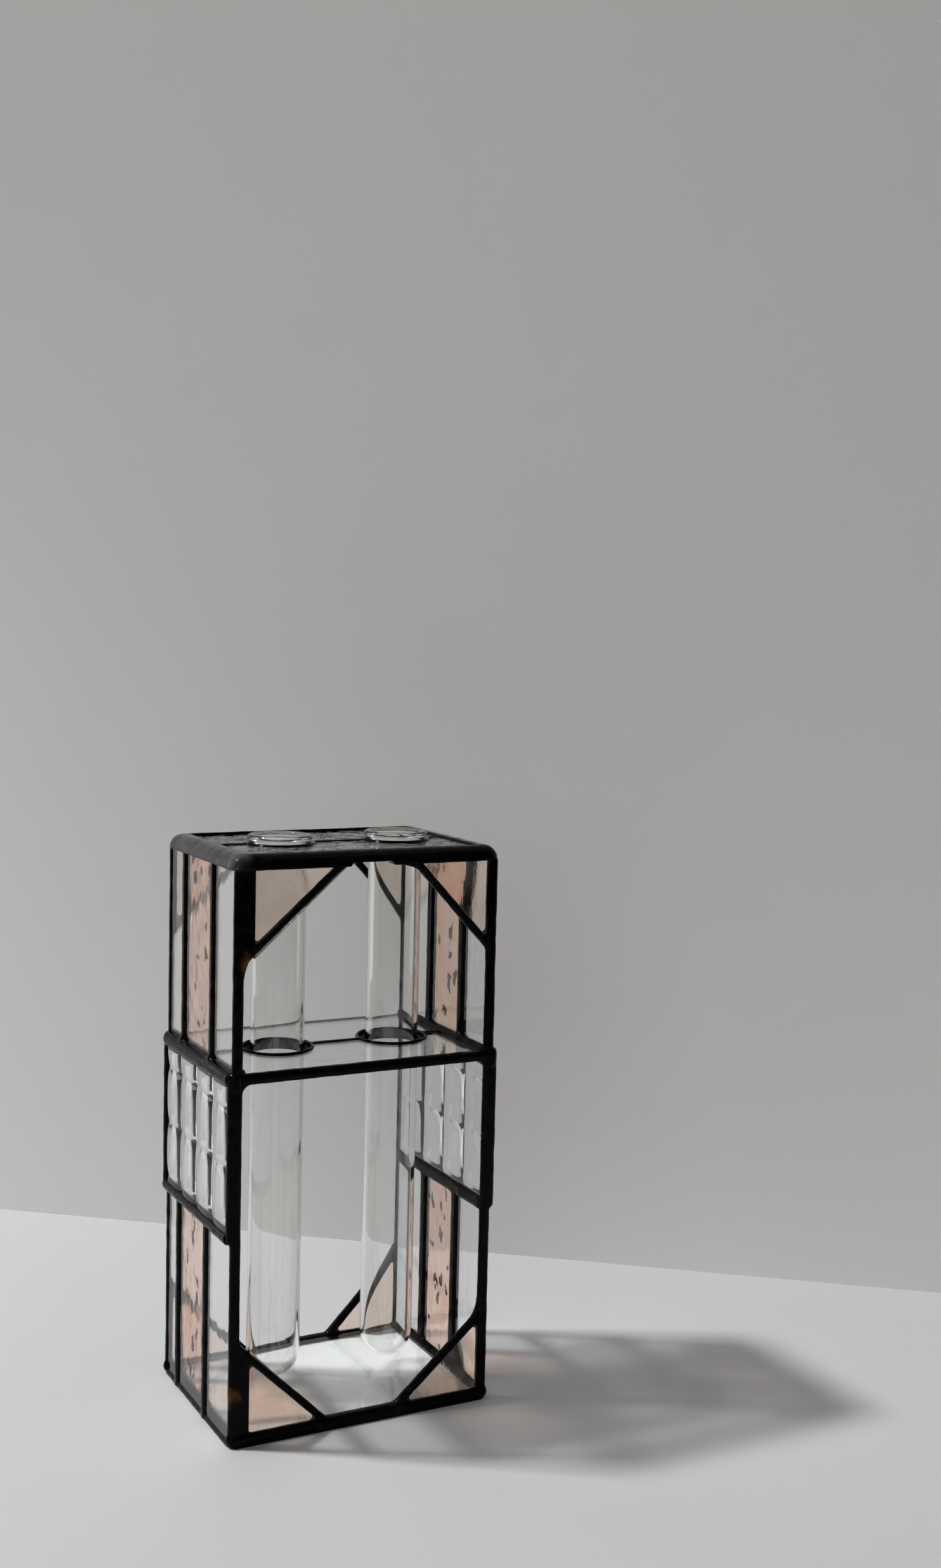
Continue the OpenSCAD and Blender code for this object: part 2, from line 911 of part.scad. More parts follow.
module front_left_post() { color(PATINA) post(LEFT, FRONT); }
module front_right_post() { color(PATINA) post(RIGHT, FRONT); }
module back_left_post() { color(PATINA) post(LEFT, BACK); }
module back_right_post() { color(PATINA) post(RIGHT, BACK); }

module top_rim_front() { color(PATINA) rim_x(FRONT); }
module top_rim_back() { color(PATINA) rim_x(BACK); }
module top_rim_left() { color(PATINA) rim_y(LEFT); }
module top_rim_right() { color(PATINA) rim_y(RIGHT); }

module base_bar_front() { color(PATINA) base_bar(FRONT); }
module base_bar_back() { color(PATINA) base_bar(BACK); }
module base_seam_left() { color(PATINA) base_seam(LEFT); }
module base_seam_right() { color(PATINA) base_seam(RIGHT); }

module shelf_bar_front() { color(PATINA) front_shelf_bar(); }
module shelf_edge_back() { color(PATINA) back_shelf_edge(); }
module left_shelf_band() { color(PATINA) shelf_band(LEFT); }
module right_shelf_band() { color(PATINA) shelf_band(RIGHT); }
module left_transom() { color(PATINA) transom(LEFT); }
module right_transom() { color(PATINA) transom(RIGHT); }
module left_mullions() { color(PATINA) mullions(LEFT); }
module right_mullions() { color(PATINA) mullions(RIGHT); }

module braces(face, top) {
    for (side = [LEFT, RIGHT])
        brace(side, face, top);
}

module front_top_braces() { color(PATINA) braces(FRONT, true); }
module front_base_braces() { color(PATINA) braces(FRONT, false); }
module back_top_braces() { color(PATINA) braces(BACK, true); }
module back_base_braces() { color(PATINA) braces(BACK, false); }

module top_centre_seam() {
    color(PATINA)
        centre_seam(top_plate_z, stand_w, top_collar_outer)
            rim_ring();
}

module shelf_centre_seam() {
    color(PATINA)
        centre_seam(shelf_z, 2 * plate_end, shelf_collar_outer)
            translate([0, 0, shelf_z])
                for (side = [LEFT, RIGHT])
                    along_wall(side)
                        shelf_fillets();
}

module top_collar_left() { color(PATINA) collar(LEFT, top_plate_z, top_collar_r, top_collar_outer, top_hole_r); }
module top_collar_right() { color(PATINA) collar(RIGHT, top_plate_z, top_collar_r, top_collar_outer, top_hole_r); }

module shelf_collar_left() {
    color(PATINA) collar(LEFT, shelf_z, shelf_collar_r, shelf_collar_outer, shelf_hole_r);
}

module shelf_collar_right() {
    color(PATINA) collar(RIGHT, shelf_z, shelf_collar_r, shelf_collar_outer, shelf_hole_r);
}

// Nodes: tubes

module tube_left() { color(TUBE_GLASS) tube(LEFT); }
module tube_right() { color(TUBE_GLASS) tube(RIGHT); }

base_pane();
shelf_pane_front();
shelf_pane_back();
top_pane_front();
top_pane_back();
left_upper_back_pane();
left_upper_pink_pane();
left_upper_front_pane();
left_fluted_block();
left_lower_back_pane();
left_lower_pink_pane();
left_lower_front_pane();
right_upper_back_pane();
right_upper_pink_pane();
right_upper_front_pane();
right_fluted_block();
right_lower_back_pane();
right_lower_pink_pane();
right_lower_front_pane();
front_top_left_triangle();
front_top_right_triangle();
front_base_left_triangle();
front_base_right_triangle();
back_top_left_triangle();
back_top_right_triangle();
back_base_left_triangle();
back_base_right_triangle();
front_left_post();
front_right_post();
back_left_post();
back_right_post();
top_rim_front();
top_rim_back();
top_rim_left();
top_rim_right();
base_bar_front();
base_bar_back();
base_seam_left();
base_seam_right();
shelf_bar_front();
shelf_edge_back();
left_shelf_band();
right_shelf_band();
left_transom();
right_transom();
left_mullions();
right_mullions();
front_top_braces();
front_base_braces();
back_top_braces();
back_base_braces();
top_centre_seam();
shelf_centre_seam();
top_collar_left();
top_collar_right();
shelf_collar_left();
shelf_collar_right();
tube_left();
tube_right();
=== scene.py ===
"""Leaded glass stand with two glass tubes: its solder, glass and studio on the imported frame."""

import logging
import math
from collections.abc import Callable
from dataclasses import dataclass, field
from enum import Enum
from functools import reduce

import bmesh
import bpy
from mathutils import Matrix, Vector


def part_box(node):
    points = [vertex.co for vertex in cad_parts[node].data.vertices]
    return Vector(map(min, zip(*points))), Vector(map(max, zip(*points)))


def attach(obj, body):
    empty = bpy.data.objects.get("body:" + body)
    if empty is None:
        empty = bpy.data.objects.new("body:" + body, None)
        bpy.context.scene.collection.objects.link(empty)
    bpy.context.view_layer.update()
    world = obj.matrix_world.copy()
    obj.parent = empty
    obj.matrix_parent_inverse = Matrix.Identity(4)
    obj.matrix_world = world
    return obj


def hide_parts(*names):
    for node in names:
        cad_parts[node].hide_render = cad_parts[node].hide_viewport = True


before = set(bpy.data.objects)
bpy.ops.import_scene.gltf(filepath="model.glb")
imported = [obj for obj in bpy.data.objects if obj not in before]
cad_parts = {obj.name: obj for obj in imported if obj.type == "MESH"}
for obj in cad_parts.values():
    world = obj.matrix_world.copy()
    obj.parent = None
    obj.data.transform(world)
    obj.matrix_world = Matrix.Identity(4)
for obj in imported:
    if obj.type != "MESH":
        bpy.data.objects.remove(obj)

Shape = bpy.types.Object
Finish = bpy.types.Material
Socket = bpy.types.NodeSocket
Group = bpy.types.NodeTree
Colour = tuple[float, float, float]
Outline = list[tuple[float, float]]
LevelBar = tuple[float, float | None, float, float]

MM = 0.001
UP = Vector((0.0, 0.0, 1.0))
ACROSS = Vector((1.0, 0.0, 0.0))
AWAY = Vector((0.0, 1.0, 0.0))
PARALLEL = 0.99  # cosine from which two directions count as one
SHARP = math.radians(40)  # angle between faces from which an edge stays sharp
SUNK = 0.2 * MM  # depth to which a web's corner is sunk into the bars beside it
UNDER_FLOOR = -1.0 * MM  # where solder that is cut level with the table starts
FRAME_BODY = "frame"

log = logging.getLogger("stand")


class Named(Enum):
    """A choice that is a word in the names of the frame's nodes."""

    @property
    def word(self) -> str:
        """The choice, as the frame's nodes spell it."""
        return self.name.lower()


class Side(Named):
    """The two end walls, by the sign of their X."""

    LEFT = -1
    RIGHT = 1


class Face(Named):
    """The open front and the open back, by the sign of their Y."""

    FRONT = -1
    BACK = 1


# Bench: operators on one fresh shape at a time


def deselect_all() -> None:
    """Leave nothing selected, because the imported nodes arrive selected."""
    bpy.ops.object.select_all(action="DESELECT")


def fresh(primitive: Callable, **settings) -> Shape:
    """The shape that a primitive's operator adds, with nothing else selected.

    Args:
        primitive: The operator.
        **settings: What it is given.

    Returns:
        The shape.
    """
    deselect_all()
    primitive(**settings)
    return bpy.context.object


def pick(shape: Shape) -> None:
    """Make a shape the only selected and the active object.

    Args:
        shape: The shape.
    """
    deselect_all()
    shape.select_set(True)
    bpy.context.view_layer.objects.active = shape


def edit(shape: Shape) -> None:
    """Open a shape in edit mode with all of it selected.

    Args:
        shape: The shape.
    """
    pick(shape)
    bpy.ops.object.mode_set(mode="EDIT")
    bpy.ops.mesh.select_all(action="SELECT")


def leave_edit() -> None:
    """Go back to object mode."""
    bpy.ops.object.mode_set(mode="OBJECT")


def face_outwards() -> None:
    """Turn all faces of the shape in edit mode outwards, and leave edit mode."""
    bpy.ops.mesh.select_all(action="SELECT")
    bpy.ops.mesh.normals_make_consistent(inside=False)
    leave_edit()


def work_on(shape: Shape, kind: str, wanted: Callable, operator: Callable, **settings) -> None:
    """Run a mesh operator on the edges or the faces that pass a test.

    Args:
        shape: The shape.
        kind: EDGE or FACE.
        wanted: The test of one edge or face.
        operator: The operator.
        **settings: The operator's settings.
    """
    edit(shape)
    bpy.ops.mesh.select_mode(type=kind)
    bpy.ops.mesh.select_all(action="DESELECT")
    mesh = bmesh.from_edit_mesh(shape.data)
    for item in mesh.edges if kind == "EDGE" else mesh.faces:
        item.select_set(wanted(item))
    bmesh.update_edit_mesh(shape.data)
    operator(**settings)
    leave_edit()


def settle(shape: Shape) -> None:
    """Move a shape's place, turn and scale into its mesh."""
    pick(shape)
    bpy.ops.object.transform_apply(location=True, rotation=True, scale=True)


def apply_modifier(shape: Shape, kind: str, **settings) -> None:
    """Add one modifier and apply it.

    Args:
        shape: The shape to change.
        kind: The modifier's type.
        **settings: Values to set on the modifier first.
    """
    pick(shape)
    modifier = shape.modifiers.new(kind.lower(), kind)
    for name, value in settings.items():
        setattr(modifier, name, value)
    bpy.ops.object.modifier_apply(modifier=modifier.name)


def cut(shape: Shape, point: Vector, normal: Vector) -> None:
    """Cut a shape with a plane and close the cut.

    Args:
        shape: The shape to cut.
        point: A point of the plane.
        normal: The plane's normal; what lies on its side goes.
    """
    edit(shape)
    bpy.ops.mesh.bisect(plane_co=point, plane_no=normal, use_fill=True, clear_outer=True, clear_inner=False)
    leave_edit()


def turn_to(axis: Vector, facing: Vector) -> Matrix:
    """Rotation that carries Z to an axis and Y as near as can be to a facing.

    Args:
        axis: Where Z goes.
        facing: Where Y should point.

    Returns:
        The rotation as a 3 by 3 matrix.
    """
    along = axis.normalized()
    level = (facing - facing.dot(along) * along).normalized()
    return Matrix((level.cross(along), level, along)).transposed()


def add_block(low: Vector, high: Vector) -> Shape:
    """Model a plain block between two corners.

    Args:
        low: Its lowest corner.
        high: Its highest corner.

    Returns:
        The block.
    """
    block = fresh(bpy.ops.mesh.primitive_cube_add, size=1.0, location=(low + high) / 2)
    block.scale = high - low
    settle(block)
    return block


def add_turned(profile: Outline, centre: Vector, steps: int) -> Shape:
    """Turn an outline round an upright axis.

    Args:
        profile: Radius and height of each point of the outline, in order.
        centre: Point of the axis from which the heights are measured.
        steps: Faces round the axis.

    Returns:
        The turned shape, closed, with its faces outwards.
    """
    shape = fresh(bpy.ops.mesh.primitive_plane_add, size=MM, location=centre)
    settle(shape)
    edit(shape)
    bpy.ops.mesh.select_mode(type="VERT")
    bpy.ops.mesh.merge(type="CENTER")
    radius, height = profile[0]
    bpy.ops.transform.translate(value=(radius, 0.0, height))
    for next_radius, next_height in profile[1:]:
        step = (next_radius - radius, 0.0, next_height - height)
        bpy.ops.mesh.extrude_vertices_move(TRANSFORM_OT_translate={"value": step})
        radius, height = next_radius, next_height
    bpy.ops.mesh.select_all(action="SELECT")
    bpy.ops.mesh.spin(steps=steps, angle=math.tau, center=centre, axis=UP)
    bpy.ops.mesh.select_all(action="SELECT")
    bpy.ops.mesh.remove_doubles(threshold=MM * 0.002)
    face_outwards()
    return shape


def arc(centre: tuple[float, float], radius: float, start: float, end: float, points: int) -> Outline:
    """Points of an arc in an outline.

    Args:
        centre: Radius and height of the arc's middle.
        radius: The arc's own radius.
        start: Angle of the first point in degrees, from outwards, turning up.
        end: Angle of the last point in degrees.
        points: How many points.

    Returns:
        The points, in order.
    """
    turns = [math.radians(start + (end - start) * i / (points - 1)) for i in range(points)]
    return [(centre[0] + radius * math.cos(a), centre[1] + radius * math.sin(a)) for a in turns]


def smooth(shape: Shape) -> None:
    """Shade a shape smooth, apart from its sharp edges."""
    pick(shape)
    bpy.ops.object.shade_smooth_by_angle(angle=SHARP)


def hand_over(
    piece: Shape, name: str, finish: Finish, replaced: tuple[str, ...], body: str = FRAME_BODY
) -> None:
    """Name a finished piece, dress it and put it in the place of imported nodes.

    Args:
        piece: The piece.
        name: Its name.
        finish: Its finish.
        replaced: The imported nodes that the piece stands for.
        body: The body that the piece moves with.
    """
    piece.name = piece.data.name = name
    piece.data.materials.clear()
    piece.data.materials.append(finish)
    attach(piece, body)
    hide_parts(*replaced)
    log.info("%s: %d faces", name, len(piece.data.polygons))


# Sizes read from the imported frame


def middle(node: str) -> Vector:
    """Middle of a node's box."""
    low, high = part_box(node)
    return (low + high) / 2


class StandPlan:
    """Places of the stand's seams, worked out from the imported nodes.

    Attributes:
        post_r: Radius of the corner posts.
        swell_r: Radius of a post's bulge beside a fluted block.
        tube_r: Outer radius of the tubes.
        rim_low: Underside of the top rim.
        rim_high: Top of the top rim.
        shelf_z: Middle of the shelf.
        top_z: Middle of the top plate.
        wall_x: X of the middle of each end wall.
        face_y: Y of the middle of the open front and the open back.
        crest: X of the outside of each fluted block.
        transom_z: Middle of each wall's lower transom.
    """

    def __init__(self) -> None:
        """Read the nodes' boxes."""
        self.post_r, self.swell_r, self.tube_r = 1.8 * MM, 1.66 * MM, 9.0 * MM
        self.rim_low, self.rim_high = (corner.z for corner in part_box("top_rim_front"))
        self.shelf_z, self.top_z = middle("shelf_pane_front").z, middle("top_pane_front").z
        self.wall_x = {side: middle(f"{side.word}_upper_pink_pane").x for side in Side}
        self.face_y = {face: middle(f"{face.word}_top_left_triangle").y for face in Face}
        self.crest, self.transom_z = {}, {}
        for side in Side:
            low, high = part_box(f"{side.word}_fluted_block")
            self.crest[side] = low.x if side is Side.LEFT else high.x
            self.transom_z[side] = (low.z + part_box(f"{side.word}_lower_pink_pane")[1].z) / 2

    def mullion_ys(self, side: Side, storey: str) -> tuple[float, float]:
        """Y of the front and the back mullion of one storey of a wall.

        Args:
            side: The wall.
            storey: "upper" or "lower".

        Returns:
            The front one's Y and the back one's.
        """
        low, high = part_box(f"{side.word}_{storey}_pink_pane")
        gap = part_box(f"{side.word}_{storey}_back_pane")[0].y - high.y
        return low.y - gap / 2, high.y + gap / 2

    def post(self, side: Side, face: Face) -> Vector:
        """Foot of a corner post."""
        return Vector((self.wall_x[side], self.face_y[face], 0.0))


PLAN = StandPlan()


@dataclass(frozen=True)
class Corner:
    """A corner of an open face, where a brace cuts off a pink triangle. Its lengths are in millimetres."""

    face: Face  # front or back
    side: Side  # left or right
    top: bool  # whether it hangs under the rim
    less_bar: float  # how much shorter than its packed pane the triangle is along the rim or the base bar
    less_post: float  # how much shorter than its packed pane it is along the post
    web: tuple[float, float] = (3.0, 2.5)  # reach of the web beside the brace's foot, along post and brace
    arch: tuple[float, float] | None = None  # reach of a web at the brace's head, along rim and brace
    edge: float = 0.15  # radius of the pane's ground edges

    @property
    def node(self) -> str:
        """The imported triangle."""
        return f"{self.face.word}_{'top' if self.top else 'base'}_{self.side.word}_triangle"

    @property
    def inward(self) -> Vector:
        """From the post towards the middle of the stand."""
        return ACROSS * -self.side.value

    def brace(self) -> tuple[Vector, Vector]:
        """Ends of the brace's middle line: at the middle of the post, and inside the rim or the base bar.

        Returns:
            The end at the post and the end at the bar.
        """
        low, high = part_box(self.node)
        y = PLAN.face_y[self.face]
        outer_x, inner_x = (low.x, high.x) if self.side is Side.LEFT else (high.x, low.x)
        inner_x += self.side.value * self.less_bar * MM
        bar_z = high.z if self.top else low.z
        tip_z = low.z + self.less_post * MM if self.top else high.z - self.less_post * MM
        at_bar = Vector((inner_x, y, bar_z))
        slope = (Vector((outer_x, y, tip_z)) - at_bar) / (outer_x - inner_x)
        return at_bar + slope * (PLAN.wall_x[self.side] - inner_x), at_bar

    def build(self, glass: Finish) -> None:
        """Cut the pane from a block of glass along its brace's middle.

        Args:
            glass: The finish.
        """
        pane = add_block(*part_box(self.node))
        at_post, at_bar = self.brace()
        across = (at_bar - at_post).cross(AWAY)
        cut(pane, at_bar, across if across.dot(self.inward) > 0 else -across)
        apply_modifier(pane, "BEVEL", width=self.edge * MM, segments=2)
        smooth(pane)
        hand_over(pane, f"{self.node}_glass", glass, (self.node,))


CORNERS = (
    Corner(Face.FRONT, Side.LEFT, True, 2.3, 2.5, (8.0, 4.5), (1.5, 1.0)),
    Corner(Face.FRONT, Side.LEFT, False, 5.8, 2.6, (3.0, 2.0)),
    Corner(Face.FRONT, Side.RIGHT, True, 3.6, 1.2, (2.5, 1.5), (9.0, 5.0)),
    Corner(Face.FRONT, Side.RIGHT, False, 5.9, 6.3, (9.0, 5.0)),
    Corner(Face.BACK, Side.LEFT, True, 2.3, 2.5),
    Corner(Face.BACK, Side.LEFT, False, 5.8, 2.6),
    Corner(Face.BACK, Side.RIGHT, True, 4.0, 2.0),
    Corner(Face.BACK, Side.RIGHT, False, 3.5, 3.0),
)


# Wiring of the finishes


class Wiring:
    """Adds and links the nodes of one node tree."""

    def __init__(self, tree: Group) -> None:
        """Work on this tree."""
        self.tree = tree

    def add(self, kind: str, values: dict | None = None, **settings) -> bpy.types.Node:
        """Add a node.

        Args:
            kind: The node's type.
            values: Input values or sources, by the input's name or number, a colour as its three parts.
            **settings: Properties of the node.

        Returns:
            The node.
        """
        node = self.tree.nodes.new(kind)
        for name, value in settings.items():
            setattr(node, name, value)
        for name, value in (values or {}).items():
            socket = node.inputs[name]
            if isinstance(value, Socket):
                self.tree.links.new(value, socket)
            else:
                socket.default_value = (*value, 1.0) if socket.type == "RGBA" else value
        return node

    def maths(self, operation: str, *terms) -> Socket:
        """Result of a sum on numbers or sockets."""
        return self.add("ShaderNodeMath", dict(enumerate(terms)), operation=operation).outputs[0]

    def times(self, *terms) -> Socket:
        """Product of numbers or sockets."""
        return reduce(lambda product, term: self.maths("MULTIPLY", product, term), terms)

    def vectors(self, operation: str, result: str, *terms) -> Socket:
        """One result of a sum on vectors or sockets."""
        return self.add("ShaderNodeVectorMath", dict(enumerate(terms)), operation=operation).outputs[result]

    def spread(self, value: Socket, low: float, high: float, to_low: float = 0.0, to_high: float = 1.0) -> Socket:
        """A value from one range carried to another, held at its ends."""
        ends = {"From Min": low, "From Max": high, "To Min": to_low, "To Max": to_high}
        return self.add("ShaderNodeMapRange", {"Value": value, **ends}).outputs["Result"]

    def blend(self, share: Socket, first: Socket | Colour, second: Colour) -> Socket:
        """Two colours mixed by a share."""
        return self.add("ShaderNodeMix", {0: share, 6: first, 7: second}, data_type="RGBA").outputs[2]

    def noise(self, place: Socket, scale: float | Socket, detail: float, **more: float) -> Socket:
        """Noise over a place; more of the node's inputs go by their names."""
        values = {"Vector": place, "Scale": scale, "Detail": detail, **more}
        return self.add("ShaderNodeTexNoise", values).outputs["Fac"]

    def bump(self, height: Socket) -> Socket:
        """Normal of a surface with a height in millimetres."""
        return self.add("ShaderNodeBump", {"Strength": 1.0, "Distance": MM, "Height": height}).outputs["Normal"]

    def place(self, scale: tuple[float, float, float] = (1.0, 1.0, 1.0)) -> Socket:
        """Object coordinates in millimetres, stretched by a scale.

        Args:
            scale: The stretch along each axis.

        Returns:
            The coordinates.
        """
        where = self.add("ShaderNodeTexCoord").outputs["Object"]
        stretch = tuple(share / MM for share in scale)
        return self.add("ShaderNodeMapping", {"Vector": where, "Scale": stretch}).outputs["Vector"]

    def show(self, shader: bpy.types.Node) -> None:
        """Make a shader the material's surface."""
        self.add("ShaderNodeOutputMaterial", {"Surface": shader.outputs[0]})


def new_group(name: str, inputs: dict[str, float], outputs: tuple[str, ...]) -> tuple[Group, Wiring]:
    """Start a node group whose named sockets carry numbers.

    Args:
        name: The group's name.
        inputs: Default value of each number that goes in.
        outputs: What comes out.

    Returns:
        The group and its wiring.
    """
    group = bpy.data.node_groups.new(name, "ShaderNodeTree")
    for label, value in inputs.items():
        socket = group.interface.new_socket(label, in_out="INPUT", socket_type="NodeSocketFloat")
        socket.default_value = value
    for label in outputs:
        group.interface.new_socket(label, in_out="OUTPUT", socket_type="NodeSocketFloat")
    return group, Wiring(group)


def rolled_group() -> Group:
    """Surface of a hand-rolled sheet: slow swell, short ripples that run one way, and seeds.

    Returns:
        The group, with Swell, Ripple and Seed heights and the ripples' Pitch in, and the Height out.
    """
    group, wires = new_group(
        "Rolled surface", {"Swell": 0.3, "Ripple": 0.1, "Seed": 0.1, "Pitch": 1.0}, ("Height",)
    )
    into = wires.add("NodeGroupInput").outputs
    place = wires.place()
    swell = wires.noise(place, 0.11, 1.0)
    drawn = wires.add("ShaderNodeMapping", {"Vector": place, "Scale": (0.55, 0.55, 0.16)}).outputs["Vector"]
    ripple = wires.noise(drawn, into["Pitch"], 2.0, Distortion=0.8)
    cells = wires.add("ShaderNodeTexVoronoi", {"Vector": place, "Scale": 0.16}).outputs["Distance"]
    seeds = wires.spread(cells, 0.03, 0.075, 1.0, 0.0)
    flat = wires.maths("ADD", wires.times(swell, into["Swell"]), wires.times(ripple, into["Ripple"]))
    height = wires.maths("ADD", flat, wires.times(seeds, into["Seed"]))
    wires.add("NodeGroupOutput", {"Height": height})
    return group


def patina_group() -> Group:
    """Waxed black patina on hand-run solder, with two coppery spots and a painted sheen on the left rim.

    Returns:
        The group, with the Patch share and the height of the iron's Drag in, and the rubbed Tone, the Gloss, the
        copper Bloom, the painted sheen of the left rim and the Height out.
    """
    group, wires = new_group(
        "Waxed patina", {"Patch": 0.5, "Drag": 0.05}, ("Tone", "Gloss", "Bloom", "Haze", "Height")
    )
    into = wires.add("NodeGroupInput").outputs
    place = wires.place()
    broad = wires.noise(place, 0.16, 4.0, Roughness=0.6)
    fine = wires.noise(place, 1.6, 5.0, Roughness=0.65)
    drag = wires.noise(place, 0.3, 2.0, Distortion=0.8)
    tone = wires.times(wires.spread(broad, 0.52, 0.72), into["Patch"])
    height = wires.maths("ADD", wires.times(drag, into["Drag"]), wires.times(fine, 0.008))

    post = PLAN.post(Side.LEFT, Face.FRONT)
    rim_corner = post + UP * (PLAN.rim_high - MM)
    off = wires.vectors("DISTANCE", "Value", place, rim_corner / MM)
    gloss = wires.maths("ADD", tone, wires.spread(fine, 0.35, 0.75, 0.0, 0.5))
    gloss = wires.maths("MAXIMUM", gloss, wires.spread(off, 3.0, 6.0, 1.3, 0.0))

    brace_foot = CORNERS[0].brace()[0] + ACROSS * 2.8 * MM + UP * 0.5 * MM
    low_on_post = post + UP * 16 * MM
    spots = []
    for spot, reach in ((brace_foot, 5.4), (low_on_post, 5.0)):
        away = wires.vectors("DISTANCE", "Value", place, spot / MM)
        ragged = wires.maths("ADD", away, wires.times(broad, 8.0))
        spots.append(wires.spread(ragged, reach, reach + 2.5, 1.0, 0.0))
    bloom = wires.maths("MAXIMUM", *spots)

    # Painted sheen: the rim over the left wall is lightened where the lamps' reflection falls on it.
    axes = wires.add("ShaderNodeSeparateXYZ", {"Vector": place}).outputs
    wall_x, front_y, rim_z = PLAN.wall_x[Side.LEFT] / MM, PLAN.face_y[Face.FRONT] / MM, PLAN.rim_low / MM
    haze = wires.times(
        wires.spread(axes["X"], wall_x + 2.0, wall_x + 5.0, 1.0, 0.0),
        wires.spread(axes["Z"], rim_z - 0.5, rim_z + 1.0),
        wires.spread(axes["Y"], front_y - 2.2, front_y + 0.8),
        wires.spread(broad, 0.35, 0.65, 0.55, 1.0),
    )
    wires.add("NodeGroupOutput", {"Tone": tone, "Gloss": gloss, "Bloom": bloom, "Haze": haze, "Height": height})
    return group


def material_with(name: str) -> tuple[Finish, Wiring]:
    """Start a material with an empty node tree.

    Args:
        name: The material's name.

    Returns:
        The material and its wiring.
    """
    material = bpy.data.materials.new(name)
    material.use_nodes = True
    material.node_tree.nodes.clear()
    return material, Wiring(material.node_tree)


@dataclass(frozen=True)
class SheetGlass:
    """One kind of sheet glass."""

    name: str  # the material's name
    tint: Colour  # colour of light that crosses one pane
    swell: float = 0.05  # height in millimetres of the slow swell of the surface
    ripple: float = 0.004  # height in millimetres of the short ripples
    seed: float = 0.01  # height in millimetres of the seeds
    pitch: float = 1.0  # how closely the ripples follow each other
    creased: bool = False  # whether its outside has dark creases
    lets_through: float = 0.7  # share of a lamp's light that reaches the floor through one surface

    def build(self, surface: Group) -> Finish:
        """Wire the glass.

        Args:
            surface: The group of the rolled surface.

        Returns:
            The material.
        """
        material, wires = material_with(self.name)
        heights = {"Swell": self.swell, "Ripple": self.ripple, "Seed": self.seed, "Pitch": self.pitch}
        rolled = wires.add("ShaderNodeGroup", heights, node_tree=surface)
        smear = wires.noise(wires.place(), 0.08, 3.0)
        glass = wires.add("ShaderNodeBsdfPrincipled", {
            "Base Color": self._colour(wires), "Roughness": wires.spread(smear, 0.4, 0.75, 0.01, 0.05),
            "IOR": 1.5, "Transmission Weight": 1.0, "Normal": wires.bump(rolled.outputs["Height"]),
        })
        shade = tuple(self.lets_through * math.sqrt(part) for part in self.tint)
        clear = wires.add("ShaderNodeBsdfTransparent", {"Color": shade})
        shadow = wires.add("ShaderNodeLightPath").outputs["Is Shadow Ray"]
        wires.show(wires.add("ShaderNodeMixShader", {0: shadow, 1: glass.outputs[0], 2: clear.outputs[0]}))
        return material

    def _colour(self, wires: Wiring) -> Socket:
        """Tint with faint streaks, and dark creases where the sheet has them.

        Args:
            wires: Wiring of the material.

        Returns:
            The colour.
        """
        deep = tuple(part ** 1.9 for part in self.tint)
        streak = wires.noise(wires.place((0.3, 0.3, 0.05)), 1.0, 3.0, Distortion=0.6)
        colour = wires.blend(wires.spread(streak, 0.42, 0.68), self.tint, deep)
        if not self.creased:
            return colour
        bend = wires.noise(wires.place((0.0, 0.3, 0.2)), 1.0, 1.0).node.outputs["Color"]
        bent = wires.vectors("ADD", "Vector", wires.place((0.011, 0.18, 0.10)), bend)
        cells = wires.add("ShaderNodeTexVoronoi", {"Vector": bent, "Scale": 1.0}).outputs["Distance"]
        crescents = wires.spread(cells, 0.24, 0.28, 1.0, 0.0)
        where = wires.add("ShaderNodeSeparateXYZ", {"Vector": wires.place()}).outputs["X"]
        outside = wires.maths("GREATER_THAN", wires.maths("ABSOLUTE", where), PLAN.wall_x[Side.RIGHT] / MM)
        return wires.blend(wires.times(crescents, outside), colour, (0.002, 0.001, 0.001))


@dataclass(frozen=True)
class PatinaSolder:
    """Solder with a waxed black patina."""

    name: str = "patina_solder"  # the material's name
    dark: Colour = (0.0007, 0.0007, 0.0008)  # colour where the patina is full
    worn: Colour = (0.009, 0.009, 0.0095)  # colour where it is rubbed
    bloom: Colour = (0.10, 0.04, 0.014)  # colour of the copper that shows through at a few joints
    haze: Colour = (0.07, 0.069, 0.067)  # painted sheen: a lighter colour on the rim over the left wall that stands in for the lamps' reflection there
    shine: float = 0.06  # strength of the reflection, as the shader counts it

    def build(self, patina: Group) -> Finish:
        """Wire the solder.

        Args:
            patina: The group of the waxed patina.

        Returns:
            The material.
        """
        material, wires = material_with(self.name)
        waxed = wires.add("ShaderNodeGroup", node_tree=patina).outputs
        colour = wires.blend(waxed["Tone"], self.dark, self.worn)
        # Painted sheen on the rim over the left wall.
        colour = wires.blend(waxed["Haze"], colour, self.haze)
        colour = wires.blend(waxed["Bloom"], colour, self.bloom)
        wires.show(wires.add("ShaderNodeBsdfPrincipled", {
            "Base Color": colour, "Roughness": wires.spread(waxed["Gloss"], 0.0, 1.0, 0.06, 0.26),
            "Specular IOR Level": self.shine, "Normal": wires.bump(waxed["Height"]),
        }))
        return material


